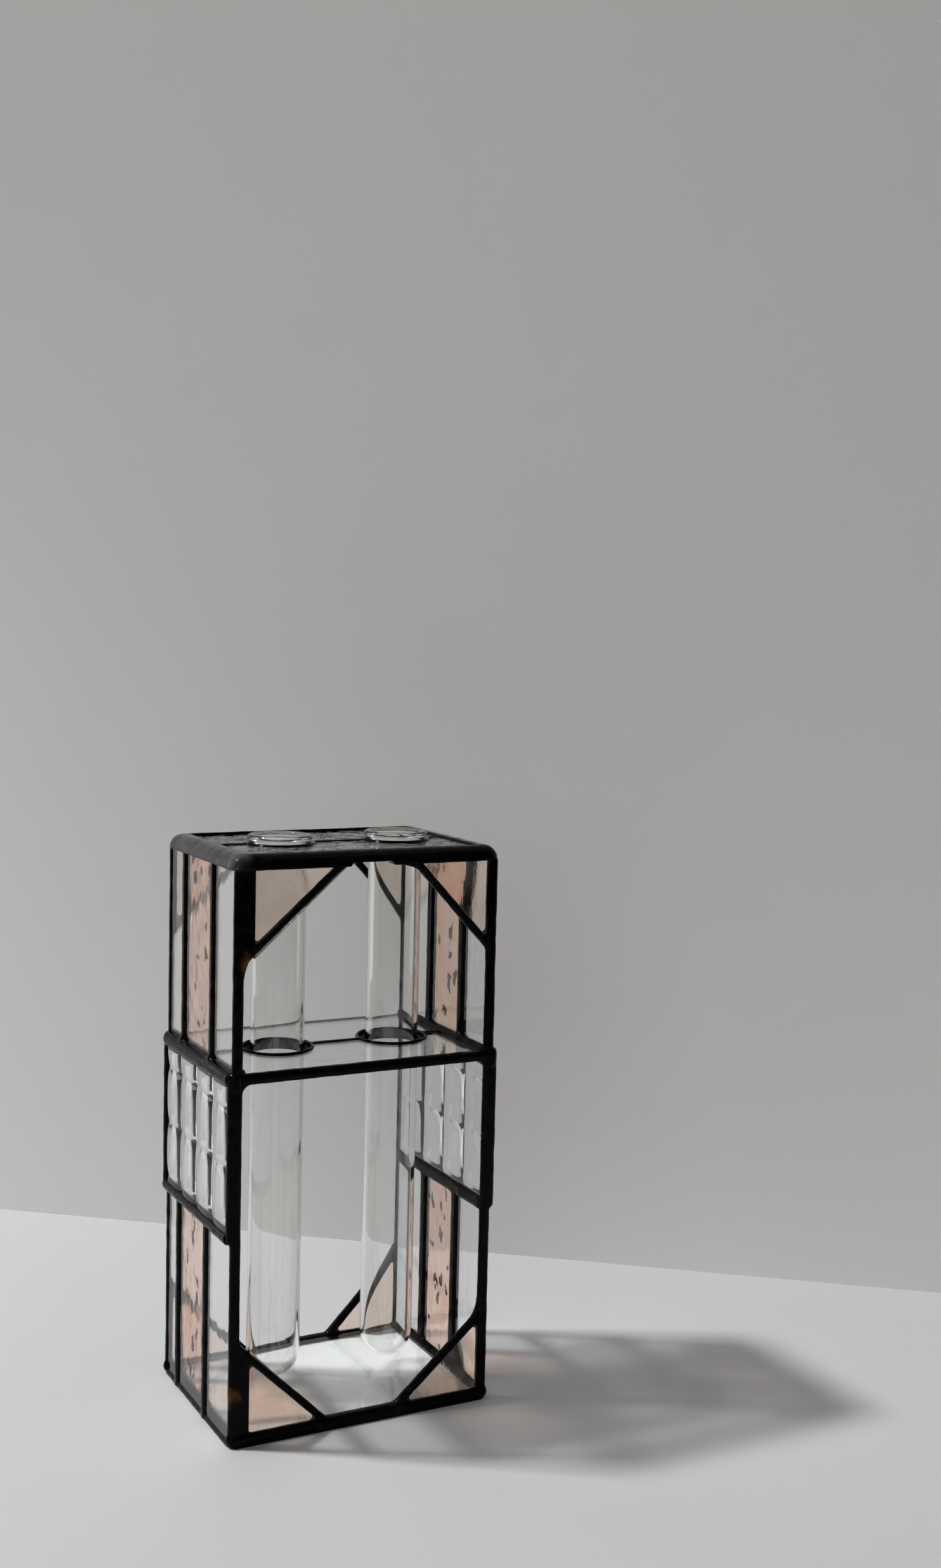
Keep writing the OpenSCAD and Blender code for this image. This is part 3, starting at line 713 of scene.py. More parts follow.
class Glass(Enum):
    """The kinds of glass: plain, creased and in triangles, in the top plate with painted shade, in the blocks and
    in the tubes.
    """

    CLEAR = SheetGlass("clear_glass", (0.98, 0.985, 0.98))
    PINK = SheetGlass("pink_creased_glass", (0.995, 0.78, 0.67), swell=0.25, ripple=0.04, creased=True)
    ROSE = SheetGlass("pink_triangle_glass", (0.995, 0.87, 0.79), swell=0.15, ripple=0.05)
    # The top plate's glass is clear; its grey tint is painted shade for the darkness it shows at a grazing view.
    RIPPLED = SheetGlass("rippled_glass", (0.62, 0.64, 0.62), swell=0.4, ripple=0.8, pitch=0.3)
    CAST = SheetGlass("cast_block_glass", (0.93, 0.95, 0.94))
    TUBE = SheetGlass("tube_glass", (0.98, 0.985, 0.98), swell=0.003, ripple=0.0, seed=0.0, lets_through=0.85)


# Solder


@dataclass
class Leading:
    """A run of solder seams that flow into each other at their joints."""

    name: str  # name of the piece
    stands_for: tuple[str, ...]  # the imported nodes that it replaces
    voxel: float = 0.42 * MM  # grain of the skin that is drawn over the bars
    flow: float = 0.45 * MM  # radius with which solder fills an inner corner
    lump: float = 0.28 * MM  # height of the hand's unevenness
    parts: list[Shape] = field(default_factory=list)  # bars and rods put together so far

    def bar(
        self, start: Vector, end: Vector, wide: float, deep: float, rounding: float, facing: Vector = AWAY
    ) -> None:
        """Put a straight bar with rounded long edges in place.

        Args:
            start: Middle of one end.
            end: Middle of the other end.
            wide: Width, square to the facing.
            deep: Depth, along the facing.
            rounding: Radius of the long edges.
            facing: Direction in which the depth is measured.
        """
        axis = end - start
        along = axis.normalized()
        bar = fresh(
            bpy.ops.mesh.primitive_cube_add,
            size=1.0, location=(start + end) / 2, rotation=turn_to(axis, facing).to_euler(),
        )
        bar.scale = (wide, deep, axis.length)
        settle(bar)
        work_on(
            bar, "EDGE",
            lambda edge: abs((edge.verts[1].co - edge.verts[0].co).normalized().dot(along)) > PARALLEL,
            bpy.ops.mesh.bevel, offset=rounding, segments=4, affect="EDGES",
        )
        self.parts.append(bar)

    def rod(self, start: Vector, end: Vector, radius: float) -> None:
        """Put a round rod with softened ends in place.

        Args:
            start: Middle of one end.
            end: Middle of the other end.
            radius: Radius of the rod.
        """
        axis = end - start
        along = axis.normalized()
        rod = fresh(
            bpy.ops.mesh.primitive_cylinder_add, vertices=24, radius=radius, depth=axis.length,
            location=(start + end) / 2, rotation=turn_to(axis, ACROSS + AWAY).to_euler(),
        )
        settle(rod)
        for inset, rise in ((0.25, 0.1), (0.35, 0.3)):
            work_on(
                rod, "FACE", lambda face: abs(face.normal.dot(along)) > PARALLEL,
                bpy.ops.mesh.inset, thickness=radius * inset, depth=radius * rise,
            )
        self.parts.append(rod)

    def web(self, corner: Vector, leg_a: Vector, leg_b: Vector, deep: float) -> None:
        """Round the corner between two bars with a web of solder.

        Args:
            corner: The corner's point, in the middle of the web's depth.
            leg_a: From the corner to the web's end along one bar.
            leg_b: From the corner to the web's end along the other bar.
            deep: Depth of the web.
        """
        points = 10
        web = fresh(
            bpy.ops.mesh.primitive_circle_add, vertices=points, radius=leg_a.length, fill_type="NGON"
        )
        facing = leg_a.cross(leg_b).normalized()
        low = corner - facing * deep / 2
        web.data.vertices[0].co = low
        for number in range(1, points):
            t = (number - 1) / (points - 2)
            web.data.vertices[number].co = low + leg_a * (1 - t) ** 2 + leg_b * t ** 2
        edit(web)
        bpy.ops.mesh.extrude_region_move(TRANSFORM_OT_translate={"value": facing * deep})
        face_outwards()
        self.parts.append(web)

    def knot(self, point: Vector, radius: float) -> None:
        """Put a round drop of solder in place."""
        ball = bpy.ops.mesh.primitive_uv_sphere_add
        self.parts.append(fresh(ball, segments=16, ring_count=10, radius=radius, location=point))

    def melt(self, solder: Finish) -> None:
        """Draw one skin over the parts, fill its inner corners, make it uneven and set it on the frame.

        Args:
            solder: The finish.
        """
        pick(self.parts[0])
        for part in self.parts:
            part.select_set(True)
        if len(self.parts) > 1:
            bpy.ops.object.join()
        piece = bpy.context.object
        settle(piece)
        for push in (0.0, self.flow, -self.flow):
            if push:
                apply_modifier(piece, "DISPLACE", strength=push, mid_level=0.0)
            apply_modifier(piece, "REMESH", mode="VOXEL", voxel_size=self.voxel, adaptivity=0.0)
        apply_modifier(piece, "SMOOTH", factor=0.5, iterations=5)
        lumps = bpy.data.textures.new(self.name, "CLOUDS")
        lumps.noise_scale = 5 * MM
        lumps.noise_depth = 2
        uneven = {"texture": lumps, "texture_coords": "LOCAL", "strength": self.lump, "mid_level": 0.5}
        apply_modifier(piece, "DISPLACE", **uneven)
        if min(v.co.z for v in piece.data.vertices) < 0.0:
            cut(piece, Vector((0.0, 0.0, 0.0)), -UP)
        pick(piece)
        bpy.ops.object.shade_smooth()
        hand_over(piece, self.name, solder, self.stands_for)


@dataclass
class OpenFace:
    """The leading of the open front or back: posts, bars, braces and the solder between them."""

    face: Face  # front or back
    shelf_bar: float = 3.6 * MM  # height and depth of the bar along the shelf's edge, where the edge isn't bare
    # direction and reach of the webs under and over that bar's ends
    shelf_webs: tuple[tuple[int, float], ...] = ((-1, 3.6 * MM), (1, 1.8 * MM))
    base_w: float = 4.4 * MM  # width of the bar on the table
    base_h: float = 4.0 * MM  # height of the bar on the table
    brace_w: float = 2.6 * MM  # width of the braces
    brace_t: float = 3.4 * MM  # depth of the braces
    heavy_r: float = 1.3 * MM  # rounding of the braces and of the bar on the table
    shelf_r: float = 1.2 * MM  # rounding of the shelf's bar
    web_t: float = 2.6 * MM  # depth of the webs between bars, and over a brace
    foot_web_t: float = 2.4 * MM  # depth of the webs beside a brace's foot
    lap_w: float = 2.4 * MM  # from a post's middle to the edge of the flat solder over its triangles
    lap_front_left: float = 5.0 * MM  # the same at the front left post
    lap_t: float = 2.9 * MM  # depth of that solder
    lap_r: float = 0.5 * MM  # its rounding
    rim_core: float = 2.2 * MM  # height and depth of the bar hidden in the rim, which the braces flow into
    core_r: float = 0.9 * MM  # rounding of that bar
    core_up: float = 1.6 * MM  # from the rim's underside up to it
    core_in: float = 7 * MM  # from a wall's middle to its end
    into_rim: float = 0.8 * MM  # how far a post runs up into the rim
    foot_z: float = 0.7 * MM  # height at which a post starts, over the drop of solder at its foot
    drop_z: float = 2.3 * MM  # height of that drop's middle
    drop_r: float = 2.5 * MM  # radius of that drop

    def build(self, solder: Finish) -> None:
        """Model the leading.

        Args:
            solder: The finish.
        """
        word = self.face.word
        nodes = [f"{word}_left_post", f"{word}_right_post", f"base_bar_{word}"]
        nodes += [f"{word}_top_braces", f"{word}_base_braces"]
        if self.face is Face.FRONT:
            nodes.append("shelf_bar_front")
        leading = Leading(f"{word}_leading", tuple(nodes))
        for side in Side:
            self._post(leading, side)
            for corner in CORNERS:
                if corner.side is side and corner.face is self.face:
                    self._brace(leading, corner)
        self._bars(leading)
        leading.melt(solder)

    def _post(self, leading: Leading, side: Side) -> None:
        """A round post, and its bulge beside the fluted block.

        Args:
            leading: The run of solder that it joins.
            side: The post's side.
        """
        foot = PLAN.post(side, self.face)
        leading.rod(foot + UP * self.foot_z, foot + UP * (PLAN.rim_low + self.into_rim), PLAN.post_r)
        leading.knot(foot + UP * self.drop_z, self.drop_r)
        out = Vector((PLAN.crest[side] - side.value * PLAN.swell_r - foot.x, 0.0, 0.0))
        low = UP * (PLAN.transom_z[side] - MM)
        high = UP * (PLAN.shelf_z + MM)
        for place in (foot + out, foot + out / 2):
            leading.rod(place + low, place + high, PLAN.swell_r)

    def _brace(self, leading: Leading, corner: Corner) -> None:
        """A brace, the webs that round its joints, and the solder lapped over the triangle beside the post.

        Args:
            leading: The run of solder that it joins.
            corner: The corner that it cuts off.
        """
        at_post, at_bar = corner.brace()
        leading.bar(at_post, at_bar, self.brace_w, self.brace_t, self.heavy_r)
        inward = corner.inward
        away = -UP if corner.top else UP
        slope = (at_bar - at_post).normalized()
        tilt = abs(slope.z / slope.x)
        half_w = self.brace_w / 2 * math.sqrt(1 + tilt * tilt)
        drop = half_w - PLAN.post_r * tilt
        foot = at_post + inward * (PLAN.post_r - SUNK) + away * (drop - SUNK)
        down, along = (reach * MM for reach in corner.web)
        leading.web(foot, away * down, slope * along, self.foot_web_t)
        lap = self.lap_front_left if corner.side is Side.LEFT and self.face is Face.FRONT else self.lap_w
        edge = PLAN.post(corner.side, self.face) + inward * lap / 2
        start = edge + UP * (PLAN.rim_low if corner.top else self.base_h)
        end = edge + UP * (at_post.z + slope.z * lap / abs(slope.x))
        leading.bar(start, end, lap, self.lap_t, self.lap_r)
        if corner.arch:
            run, fall = (reach * MM for reach in corner.arch)
            rise = at_bar.z - PLAN.rim_low
            head = at_bar + inward * (half_w / tilt - rise / tilt - SUNK) - UP * (rise - SUNK)
            leading.web(head, inward * run, slope * -fall, self.web_t)

    def _bars(self, leading: Leading) -> None:
        """The bar on the table, the shelf's bar with its corners, and the core hidden in the rim.

        Args:
            leading: The run of solder that they join.
        """
        left, right = (PLAN.post(side, self.face) for side in Side)
        base = UP * ((self.base_h + UNDER_FLOOR) / 2)
        leading.bar(left + base, right + base, self.base_h - UNDER_FLOOR, self.base_w, self.heavy_r)
        core = UP * (PLAN.rim_low + self.core_up + self.rim_core / 2)
        inset = ACROSS * self.core_in
        leading.bar(left + inset + core, right - inset + core, self.rim_core, self.rim_core, self.core_r)
        if self.face is Face.BACK:
            return
        shelf = UP * PLAN.shelf_z
        leading.bar(left + shelf, right + shelf, self.shelf_bar, self.shelf_bar, self.shelf_r)
        for post, inward in ((left, ACROSS), (right, -ACROSS)):
            for way, reach in self.shelf_webs:
                corner = post + inward * (PLAN.post_r - SUNK) + shelf + UP * way * (self.shelf_bar / 2 - SUNK)
                leading.web(corner, inward * reach, UP * way * reach, self.web_t)


@dataclass
class TopRim:
    """The rim round the top plate: solder run over the box's upper edges in a quarter round."""

    rounding: float = 4.6 * MM  # radius of the quarter round, and of its corners
    end_w: float = 6.8 * MM  # width of the bars over the walls
    long_w: float = 5.6 * MM  # width of the bars over the open faces
    grow_x: float = 0.1 * MM  # how far the end bars swell out over the walls
    grow_y: float = 0.3 * MM  # how far the long bars swell out over the open faces
    sink: float = 0.2 * MM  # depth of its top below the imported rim's
    arch: float = 1.3 * MM  # how much thinner the long bars are between the braces
    # from the heads of the left and the right brace in front to the thin part's ends
    arch_in: tuple[float, float] = (3 * MM, -8 * MM)

    def build(self, solder: Finish) -> None:
        """Model the rim from one block: round its upper edges and corners, then open and arch its middle.

        Args:
            solder: The finish.
        """
        grow = Vector((self.grow_x, self.grow_y, 0.0))
        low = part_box("top_rim_left")[0] - grow
        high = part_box("top_rim_right")[1] + grow - UP * self.sink
        block = add_block(low, high)
        work_on(
            block, "EDGE", lambda edge: max(vertex.co.z for vertex in edge.verts) > high.z - MM,
            bpy.ops.mesh.bevel, offset=self.rounding, segments=8, affect="EDGES",
        )
        inset = Vector((self.end_w, self.long_w, -MM))
        heads = [corner.brace()[1].x for corner in CORNERS if corner.arch]
        start, end = (head + inwards for head, inwards in zip(heads, self.arch_in))
        arch_low = Vector((start, low.y - MM, low.z - MM))
        arch_high = Vector((end, high.y + MM, low.z + self.arch))
        for corner_a, corner_b, soft in ((low + inset, high - inset, 0.0), (arch_low, arch_high, MM)):
            opening = add_block(corner_a, corner_b)
            if soft:
                apply_modifier(opening, "BEVEL", width=soft, segments=3)
            apply_modifier(block, "BOOLEAN", object=opening, operation="DIFFERENCE", solver="EXACT")
            bpy.data.objects.remove(opening)
        nodes = tuple(f"top_rim_{word}" for word in ("front", "back", "left", "right"))
        Leading("top_rim", nodes, voxel=0.4 * MM, flow=0.0, lump=0.3 * MM, parts=[block]).melt(solder)


@dataclass
class EndWall:
    """The leading inside one end wall: band, transom, mullions and the seam at the base.

    A level bar is given by the X of its inner and its outer side, counted outwards from the wall's middle, its
    height and its rounding, all in millimetres. Without an outer side, it laps over the fluted block.
    """

    side: Side  # left or right
    mullion_w: float = 4.2 * MM  # width of the mullions over the glass
    mullion_t: float = 4.0 * MM  # depth of a mullion, both crowns included
    mullion_r: float = 1.4 * MM  # its rounding
    into_rim: float = 1.5 * MM  # how far it runs up into the rim
    band: LevelBar = (-1.6, None, 5.0, 1.9)  # the band at the shelf
    transom: LevelBar = (0.0, None, 4.0, 1.6)  # the transom over the block
    transom_in: LevelBar = (-2.0, 0.6, 5.0, 1.1)  # the wider face of the transom inside
    seam: LevelBar = (-2.5, 1.75, 2.6, 0.5)  # the foiled seam at the base
    seam_z: float = 0.55 * MM  # height of that seam's middle
    proud: float = 0.5 * MM  # height of the crown over the fluted block
    bead_r: float = 2.0 * MM  # radius of the beads in the inner corners
    bead_in: float = 1.2 * MM  # from the wall's middle in to the beads
    bead_z: float = 1.5 * MM  # from the shelf's middle up and down to its beads
    sleeve_r: float = 2.25 * MM  # radius of the short swelling of a post at the band
    sleeve_x: float = 0.7 * MM  # from the wall's middle out to that swelling
    sleeve: tuple[float, float] = (-4.0 * MM, 1.8 * MM)  # its ends, from the shelf's middle
    drop_r: float = 2.5 * MM  # radius of the drop of solder at a mullion's foot on the band
    drop_x: float = 0.6 * MM  # from the wall's middle out to that drop
    drop_z: float = 1.9 * MM  # from the shelf's middle up to that drop
    lean: float = 0.8 * MM  # how much more solder the right wall's mullions have, the front one towards the front

    def build(self, solder: Finish) -> None:
        """Model the leading.

        Args:
            solder: The finish.
        """
        word = self.side.word
        nodes = (f"{word}_shelf_band", f"{word}_transom", f"{word}_mullions", f"base_seam_{word}")
        leading = Leading(f"{word}_wall_leading", nodes, flow=0.4 * MM)
        transom_z = PLAN.transom_z[self.side]
        self._level(leading, self.band, PLAN.shelf_z)
        for over, face in zip((-1, 1), Face):
            self._bead(leading, PLAN.shelf_z + over * self.bead_z)
            sleeve = self._at(self.sleeve_x, PLAN.face_y[face], PLAN.shelf_z)
            low, high = self.sleeve
            leading.rod(sleeve + UP * low, sleeve + UP * high, self.sleeve_r)
        self._level(leading, self.transom, transom_z)
        self._level(leading, self.transom_in, transom_z)
        self._mullions(leading, "upper", PLAN.shelf_z, PLAN.rim_low + self.into_rim)
        self._mullions(leading, "lower", UNDER_FLOOR, transom_z)
        self._bead(leading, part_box("base_pane")[1].z)
        self._level(leading, self.seam, self.seam_z)
        leading.melt(solder)

    def _at(self, out: float, y: float, z: float) -> Vector:
        """A point by its distance outwards from the wall's middle, its Y and its Z."""
        return Vector((PLAN.wall_x[self.side] + self.side.value * out, y, z))

    def _bead(self, leading: Leading, z: float) -> None:
        """A round bead along the inside of the wall."""
        front, back = (self._at(-self.bead_in, PLAN.face_y[face], z) for face in Face)
        leading.rod(front, back, self.bead_r)

    def _level(self, leading: Leading, bar: LevelBar, z: float) -> None:
        """A level bar along the wall, from the front post to the back post.

        Args:
            leading: The run of solder that it joins.
            bar: Its sides, height and rounding.
            z: Height of its middle.
        """
        x, out = PLAN.wall_x[self.side], self.side.value
        inner, outer, high, rounding = bar
        crest = PLAN.crest[self.side] + out * self.proud
        x_in = x + out * inner * MM
        x_out = crest if outer is None else x + out * outer * MM
        front, back = (Vector(((x_in + x_out) / 2, PLAN.face_y[face], z)) for face in Face)
        leading.bar(front, back, abs(x_out - x_in), high * MM, rounding * MM, UP)

    def _mullions(self, leading: Leading, storey: str, low: float, high: float) -> None:
        """The two mullions of one storey, with a drop of solder where they stand on the band.

        Args:
            leading: The run of solder that they join.
            storey: "upper" or "lower".
            low: Height of their feet.
            high: Height of their heads.
        """
        front_y, back_y = PLAN.mullion_ys(self.side, storey)
        wide = self.mullion_w
        if self.side is Side.RIGHT:
            front_y -= self.lean
            wide += self.lean
        for y in (front_y, back_y):
            if storey == "upper":
                leading.knot(self._at(self.drop_x, y, PLAN.shelf_z + self.drop_z), self.drop_r)
            foot, head = self._at(0.0, y, low), self._at(0.0, y, high)
            leading.bar(foot, head, wide, self.mullion_t, self.mullion_r, ACROSS)


@dataclass
class PlateLeading:
    """The seam along the middle of a split plate and the foil-lined collars in it."""

    storey: str  # word for the plate in the frame's nodes
    plate_z: float  # middle of the plate
    gap: float  # clear gap round a tube
    ring_w: float  # width of a collar's ring
    tall: float = 4.2 * MM  # height of a collar
    seam_w: float = 3.0 * MM  # width of the seam
    seam_t: float = 3.9 * MM  # depth of the seam, both crowns included
    seam_r: float = 1.2 * MM  # its rounding

    def build(self, solder: Finish) -> None:
        """Model the seam and both collars.

        Args:
            solder: The finish.
        """
        word = self.storey
        nodes = (f"{word}_centre_seam", f"{word}_collar_left", f"{word}_collar_right")
        leading = Leading(f"{word}_plate_leading", nodes, voxel=0.32 * MM, flow=0.4 * MM, lump=0.16 * MM)
        inner = PLAN.tube_r + self.gap
        reach = inner + self.ring_w / 2
        stops = [PLAN.wall_x[Side.LEFT]]
        for side in Side:
            tube = middle(f"tube_{side.word}")
            stops += [tube.x - reach, tube.x + reach]
            leading.parts.append(add_turned(self._ring(inner), Vector((tube.x, tube.y, self.plate_z)), 72))
        stops.append(PLAN.wall_x[Side.RIGHT])
        for ends in zip(stops[::2], stops[1::2]):
            start, end = (Vector((x, 0.0, self.plate_z)) for x in ends)
            leading.bar(start, end, self.seam_t, self.seam_w, self.seam_r)
        leading.melt(solder)

    def _ring(self, inner: float) -> Outline:
        """Outline of a collar: a sleeve with a round bead at both edges of the plate.

        Args:
            inner: Its inner radius.

        Returns:
            The outline's points, the first one again at the end.
        """
        outer = inner + self.ring_w
        r = self.ring_w * 0.42
        top = self.tall / 2
        turns = ((outer - r, top - r), (inner + r, top - r), (inner + r, r - top), (outer - r, r - top))
        points = [p for i, turn in enumerate(turns) for p in arc(turn, r, 90 * i, 90 * (i + 1), 5)]
        return points + points[:1]


@dataclass
class ShelfFoil:
    """The bare copper foil wrapped over the shelf's back edge."""

    lap: float = 1.2 * MM  # width of the foil over each face of the shelf
    thick: float = 0.14 * MM  # thickness of the foil with its skin of solder

    def build(self, solder: Finish) -> None:
        """Fold a strip round the edge.

        Args:
            solder: The finish.
        """
        low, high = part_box("shelf_pane_back")
        edge_y = high.y + self.thick
        centre = ((low.x + high.x) / 2, edge_y, (low.z + high.z) / 2)
        foil = fresh(bpy.ops.mesh.primitive_plane_add, size=1.0, location=centre)
        foil.scale = (high.x - low.x, high.z - low.z, 1.0)
        foil.rotation_euler.x = math.radians(90)
        settle(foil)
        for z in (high.z, low.z):
            work_on(
                foil, "EDGE",
                lambda edge: all(max(abs(end.co.y - edge_y), abs(end.co.z - z)) < MM / 10 for end in edge.verts),
                bpy.ops.mesh.extrude_region_move, TRANSFORM_OT_translate={"value": -AWAY * self.lap},
            )
        apply_modifier(foil, "SOLIDIFY", thickness=self.thick, offset=0.0)
        apply_modifier(foil, "BEVEL", width=self.thick * 0.4, segments=2)
        smooth(foil)
        hand_over(foil, "shelf_back_foil", solder, ("shelf_edge_back",))


# Glass


@dataclass
class Tube:
    """A round-bottomed glass tube that hangs by its rolled lip."""

    side: Side  # left or right
    wall: float = 1.1 * MM  # thickness of the wall
    lip_r: float = 10.8 * MM  # outer radius of the lip
    lip_h: float = 2.2 * MM  # height of the lip
    mouth_r: float = 0.9 * MM  # radius with which the lip turns into the bore
    neck: float = 1.2 * MM  # from the lip down to the straight wall
    throat: float = 1.4 * MM  # from the lip's top down to the straight bore
    hold: float = 0.4 * MM  # from a bend to the ring of edges that keeps the wall straight

    def build(self, glass: Finish) -> None:
        """Turn the tube.

        Args:
            glass: The finish.
        """
        node = f"tube_{self.side.word}"
        low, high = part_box(node)
        centre = middle(node)
        centre.z = high.z
        piece = add_turned(self._outline(high.z - low.z), centre, 96)
        smooth(piece)
        hand_over(piece, f"{node}_glass", glass, (node,), body=node)

    def _outline(self, length: float) -> Outline:
        """Outline from the outer pole, up the outside, over the lip and down the bore to the inner pole.

        Args:
            length: Length of the tube.

        Returns:
            The outline's points, the lip's top at zero.
        """
        outer = PLAN.tube_r
        bore = outer - self.wall
        lip = self.lip_h / 2
        bottom = outer - length
        points = arc((0.0, bottom), outer, -90, 0, 17)
        points += [(outer, bottom + self.hold), (outer, -self.lip_h - self.neck - self.hold)]
        points.append((outer, -self.lip_h - self.neck))
        points += arc((self.lip_r - lip, -lip), lip, -70, 90, 9)
        points += arc((bore + self.mouth_r, -self.mouth_r), self.mouth_r, 90, 180, 5)
        points += [(bore, -self.throat), (bore, -self.throat - self.hold), (bore, bottom + self.hold)]
        points += arc((0.0, bottom), bore, 0, -90, 17)
        points[0] = (0.0, points[0][1])
        points[-1] = (0.0, points[-1][1])
        return points


@dataclass
class FlutedBlock:
    """A cast block: upright flutes crossed by level waves, so that each crossing swells like a pillow."""

    side: Side  # left or right
    flute_w: float = 15.6 * MM  # width of a flute
    flute_start: float = 16.4 * MM  # from the back post's middle to the first valley between flutes
    wave_h: float = 19.0 * MM  # height of a wave
    wave_start: float = 8.7 * MM  # from the block's top down to the first valley between waves
    flute_rise: float = 0.9 * MM  # height of a flute over the valleys beside it
    wave_rise: float = 0.8 * MM  # height of a wave over the valleys above and below it
    tightness: float = 3.2  # how narrow the valleys are beside the crests
    cells: int = 24  # faces along one side of a pillow

    def build(self, glass: Finish) -> None:
        """Model the block.

        Args:
            glass: The finish.
        """
        node = f"{self.side.word}_fluted_block"
        low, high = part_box(node)
        size, centre = high - low, (low + high) / 2
        inside, outside = (low.x, high.x) if self.side is Side.RIGHT else (high.x, low.x)
        columns = round(size.y / self.flute_w * self.cells)
        rows = round(size.z / self.wave_h * self.cells)
        block = fresh(bpy.ops.mesh.primitive_grid_add, x_subdivisions=columns, y_subdivisions=rows, size=1.0)
        block.scale = (size.y, size.z, 1.0)
        block.rotation_euler = Matrix(((0, 0, 1), (1, 0, 0), (0, 1, 0))).to_euler()
        block.location = Vector((outside, centre.y, centre.z))
        settle(block)
        back_post = PLAN.face_y[Face.BACK]
        for vertex in block.data.vertices:
            beside = self._valley((back_post - vertex.co.y - self.flute_start) / self.flute_w)
            above = self._valley((high.z - vertex.co.z - self.wave_start) / self.wave_h)
            sink = self.flute_rise * beside + self.wave_rise * above * (1 - beside / 2)
            vertex.co.x -= self.side.value * sink
        edit(block)
        through = (inside - outside, 0.0, 0.0)
        bpy.ops.mesh.extrude_region_move(TRANSFORM_OT_translate={"value": through})
        bpy.ops.transform.resize(value=(0.0, 1.0, 1.0), center_override=(inside, centre.y, centre.z))
        face_outwards()
        smooth(block)
        hand_over(block, f"{node}_glass", glass, (node,))

    def _valley(self, cycles: float) -> float:
        """Depth below the crest, from 0 in a pillow's middle to 1 in a valley."""
        return (abs((cycles % 1.0) - 0.5) * 2) ** self.tightness


class FlatPanes:
    """The flat panes of the plates and the walls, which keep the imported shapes."""

    def dress(self, glass: dict[Glass, Finish]) -> None:
        """Give each pane its glass.

        Args:
            glass: The finish of each kind of glass.
        """
        for name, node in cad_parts.items():
            if "pane" not in name:
                continue
            kind = Glass.PINK if "pink" in name else Glass.CLEAR
            if name.startswith("top"):
                kind = Glass.RIPPLED
            for slot in node.material_slots:
                slot.material = glass[kind]
            log.info("%s: %s", name, glass[kind].name)


# Studio


@dataclass(frozen=True)
class Lamp:
    """A square lamp that points at the middle of the stand."""

    name: str  # the lamp's name
    place: tuple[float, float, float]  # where it hangs
    size: float  # length of its sides in metres
    power: float  # its power in watts

    def hang(self) -> None:
        """Put the lamp in place."""
        data = bpy.data.lights.new(self.name, "AREA")
        data.shape = "SQUARE"
        data.size = self.size
        data.energy = self.power
        lamp = bpy.data.objects.new(self.name, data)
        bpy.context.scene.collection.objects.link(lamp)
        lamp.location = self.place
        lamp.rotation_euler = (UP * STAND_MIDDLE - lamp.location).to_track_quat("-Z", "Y").to_euler()


STAND_MIDDLE = 0.09
LAMPS = (
    Lamp("key", (-1.896, 1.088, 3.356), 0.3, 131.0),
    Lamp("fill", (-1.8, -2.25, 0.96), 2.5, 14.0),
    Lamp("panel", (-0.235, 0.325, 0.17), 0.24, 0.24),
)


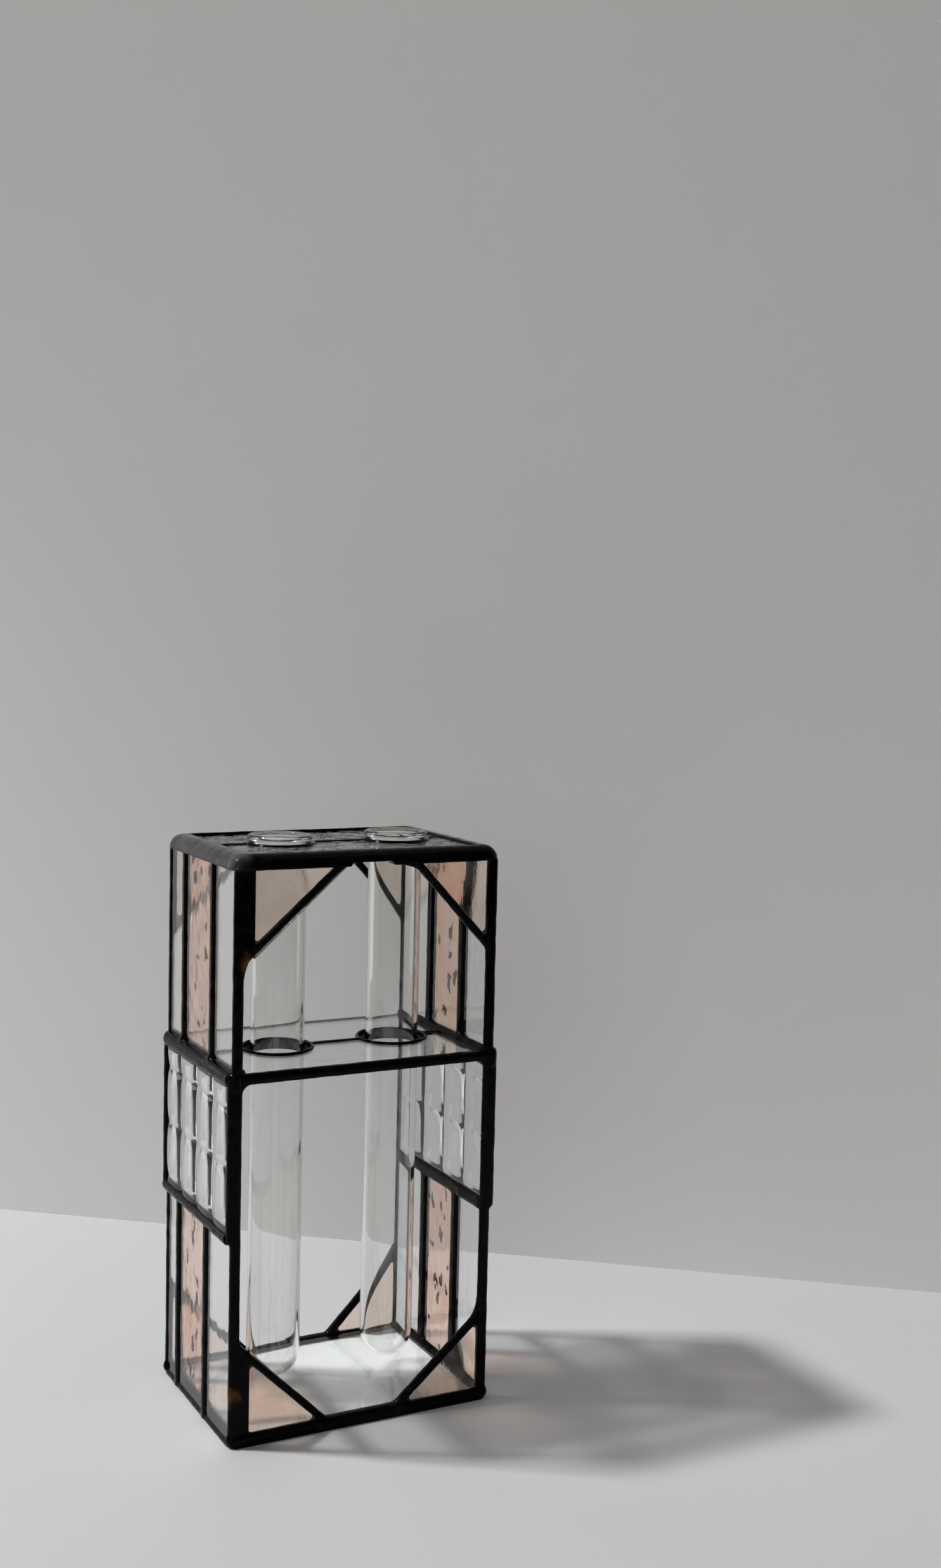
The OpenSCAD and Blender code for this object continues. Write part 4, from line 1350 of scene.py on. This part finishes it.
@dataclass(frozen=True)
class Studio:
    """Pale floor with painted shade far from the object, plain backdrop, soft lamps and the camera."""

    lens: float = 40.32  # focal length in millimetres on a 36 mm frame's long side
    eye: tuple[float, float, float] = (-0.2316, -0.5387, 0.25796)  # the camera's place
    yaw: float = 27.751  # turn of the view from the open front towards the right wall, in degrees
    pitch: float = 4.854  # fall of the view below the horizon, in degrees
    roll: float = 1.353  # turn of the camera about its view, in degrees
    wall_left: tuple[float, float] = (-0.0577, 0.2259)  # a point of the floor under the backdrop's left part
    wall_right: tuple[float, float] = (0.2565, -0.0232)  # the same at the right
    plane: float = 6.0  # length of the floor's and the backdrop's sides
    wall_up: float = 2.9  # height of the backdrop's middle
    surround: float = 0.11  # strength of the even light from all round
    bounces: int = 24  # how many surfaces light crosses
    clear_bounces: int = 32  # how many of them while it goes straight on

    def build(self) -> None:
        """Set up everything that isn't the object: a high key and a low panel behind on the left, and a fill."""
        scene = bpy.context.scene
        scene.view_settings.view_transform = "Standard"
        scene.cycles.max_bounces = self.bounces
        scene.cycles.transmission_bounces = self.bounces
        scene.cycles.transparent_max_bounces = self.clear_bounces
        self._camera()
        self._room()
        for lamp in LAMPS:
            lamp.hang()
        world = bpy.data.worlds.new("surround")
        world.use_nodes = True
        world.node_tree.nodes["Background"].inputs["Color"].default_value = (1.0, 1.0, 1.0, 1.0)
        world.node_tree.nodes["Background"].inputs["Strength"].default_value = self.surround
        scene.world = world

    def _camera(self) -> None:
        """The camera, in front of the stand, to its left and a little above it."""
        turns = ((-self.yaw, "Z"), (90.0 - self.pitch, "X"), (self.roll, "Z"))
        data = bpy.data.cameras.new("camera")
        data.lens = self.lens
        data.sensor_width = 36.0
        data.clip_start = 0.01
        camera = bpy.data.objects.new("camera", data)
        bpy.context.scene.collection.objects.link(camera)
        camera.matrix_world = reduce(
            lambda place, turn: place @ Matrix.Rotation(math.radians(turn[0]), 4, turn[1]),
            turns, Matrix.Translation(self.eye),
        )
        bpy.context.scene.camera = camera

    def _room(self) -> None:
        """A pale floor with painted shade far from the object, and a pale grey backdrop that stands on it."""
        floor = self._sheet("floor", self._plain("floor", (0.55, 0.555, 0.57), fade=True))
        backdrop = self._sheet("backdrop", self._plain("backdrop", (0.83, 0.82, 0.80), one_sided=True))
        left, right = Vector((*self.wall_left, 0.0)), Vector((*self.wall_right, 0.0))
        along = (right - left).normalized()
        turn = Matrix((along, UP, along.cross(UP))).transposed()
        backdrop.matrix_world = Matrix.Translation((left + right) / 2 + UP * self.wall_up) @ turn.to_4x4()
        for sheet in (floor, backdrop):
            settle(sheet)

    def _sheet(self, name: str, finish: Finish) -> Shape:
        """A large plane with its finish.

        Args:
            name: Its name.
            finish: Its material.

        Returns:
            The plane.
        """
        sheet = fresh(bpy.ops.mesh.primitive_plane_add, size=self.plane)
        sheet.name = name
        sheet.data.materials.append(finish)
        return sheet

    @staticmethod
    def _plain(name: str, colour: Colour, one_sided: bool = False, fade: bool = False) -> Finish:
        """A matt finish with a very faint grain and, where asked, painted shade away from the object.

        Args:
            name: The material's name.
            colour: Its colour.
            one_sided: Whether it is see-through from behind.
            fade: Whether it darkens well away from the object, as painted shade for a dim room.

        Returns:
            The material.
        """
        material, wires = material_with(name)
        grain = wires.noise(wires.place(), 0.02, 3.0)
        shade, far = (tuple(share * part for part in colour) for share in (0.97, 0.12))
        tone = wires.blend(grain, colour, shade)
        # Painted shade: the floor darkens from 350 mm to 900 mm out, standing in for a dim room.
        if fade:
            off = wires.vectors("LENGTH", "Value", wires.place())
            tone = wires.blend(wires.spread(off, 350.0, 900.0), tone, far)
        shown = wires.add("ShaderNodeBsdfPrincipled", {"Base Color": tone, "Roughness": 0.8})
        if one_sided:
            behind = wires.add("ShaderNodeNewGeometry").outputs["Backfacing"]
            gone = wires.add("ShaderNodeBsdfTransparent").outputs[0]
            shown = wires.add("ShaderNodeMixShader", {0: behind, 1: shown.outputs[0], 2: gone})
        wires.show(shown)
        return material


def main() -> None:
    """Build the studio, the finishes and each sub-assembly in order."""
    logging.basicConfig(level=logging.INFO, format="%(name)s: %(message)s")
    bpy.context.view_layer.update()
    Studio().build()
    surface = rolled_group()
    solder = PatinaSolder().build(patina_group())
    glass = {kind: kind.value.build(surface) for kind in Glass}
    FlatPanes().dress(glass)
    for face in Face:
        OpenFace(face).build(solder)
    TopRim().build(solder)
    for side in Side:
        EndWall(side).build(solder)
        FlutedBlock(side).build(glass[Glass.CAST])
        Tube(side).build(glass[Glass.TUBE])
    ShelfFoil().build(solder)
    for corner in CORNERS:
        corner.build(glass[Glass.ROSE])
    PlateLeading("top", PLAN.top_z, gap=0.8 * MM, ring_w=2.2 * MM).build(solder)
    PlateLeading("shelf", PLAN.shelf_z, gap=2.2 * MM, ring_w=1.2 * MM).build(solder)


if __name__ == "__main__":
    main()
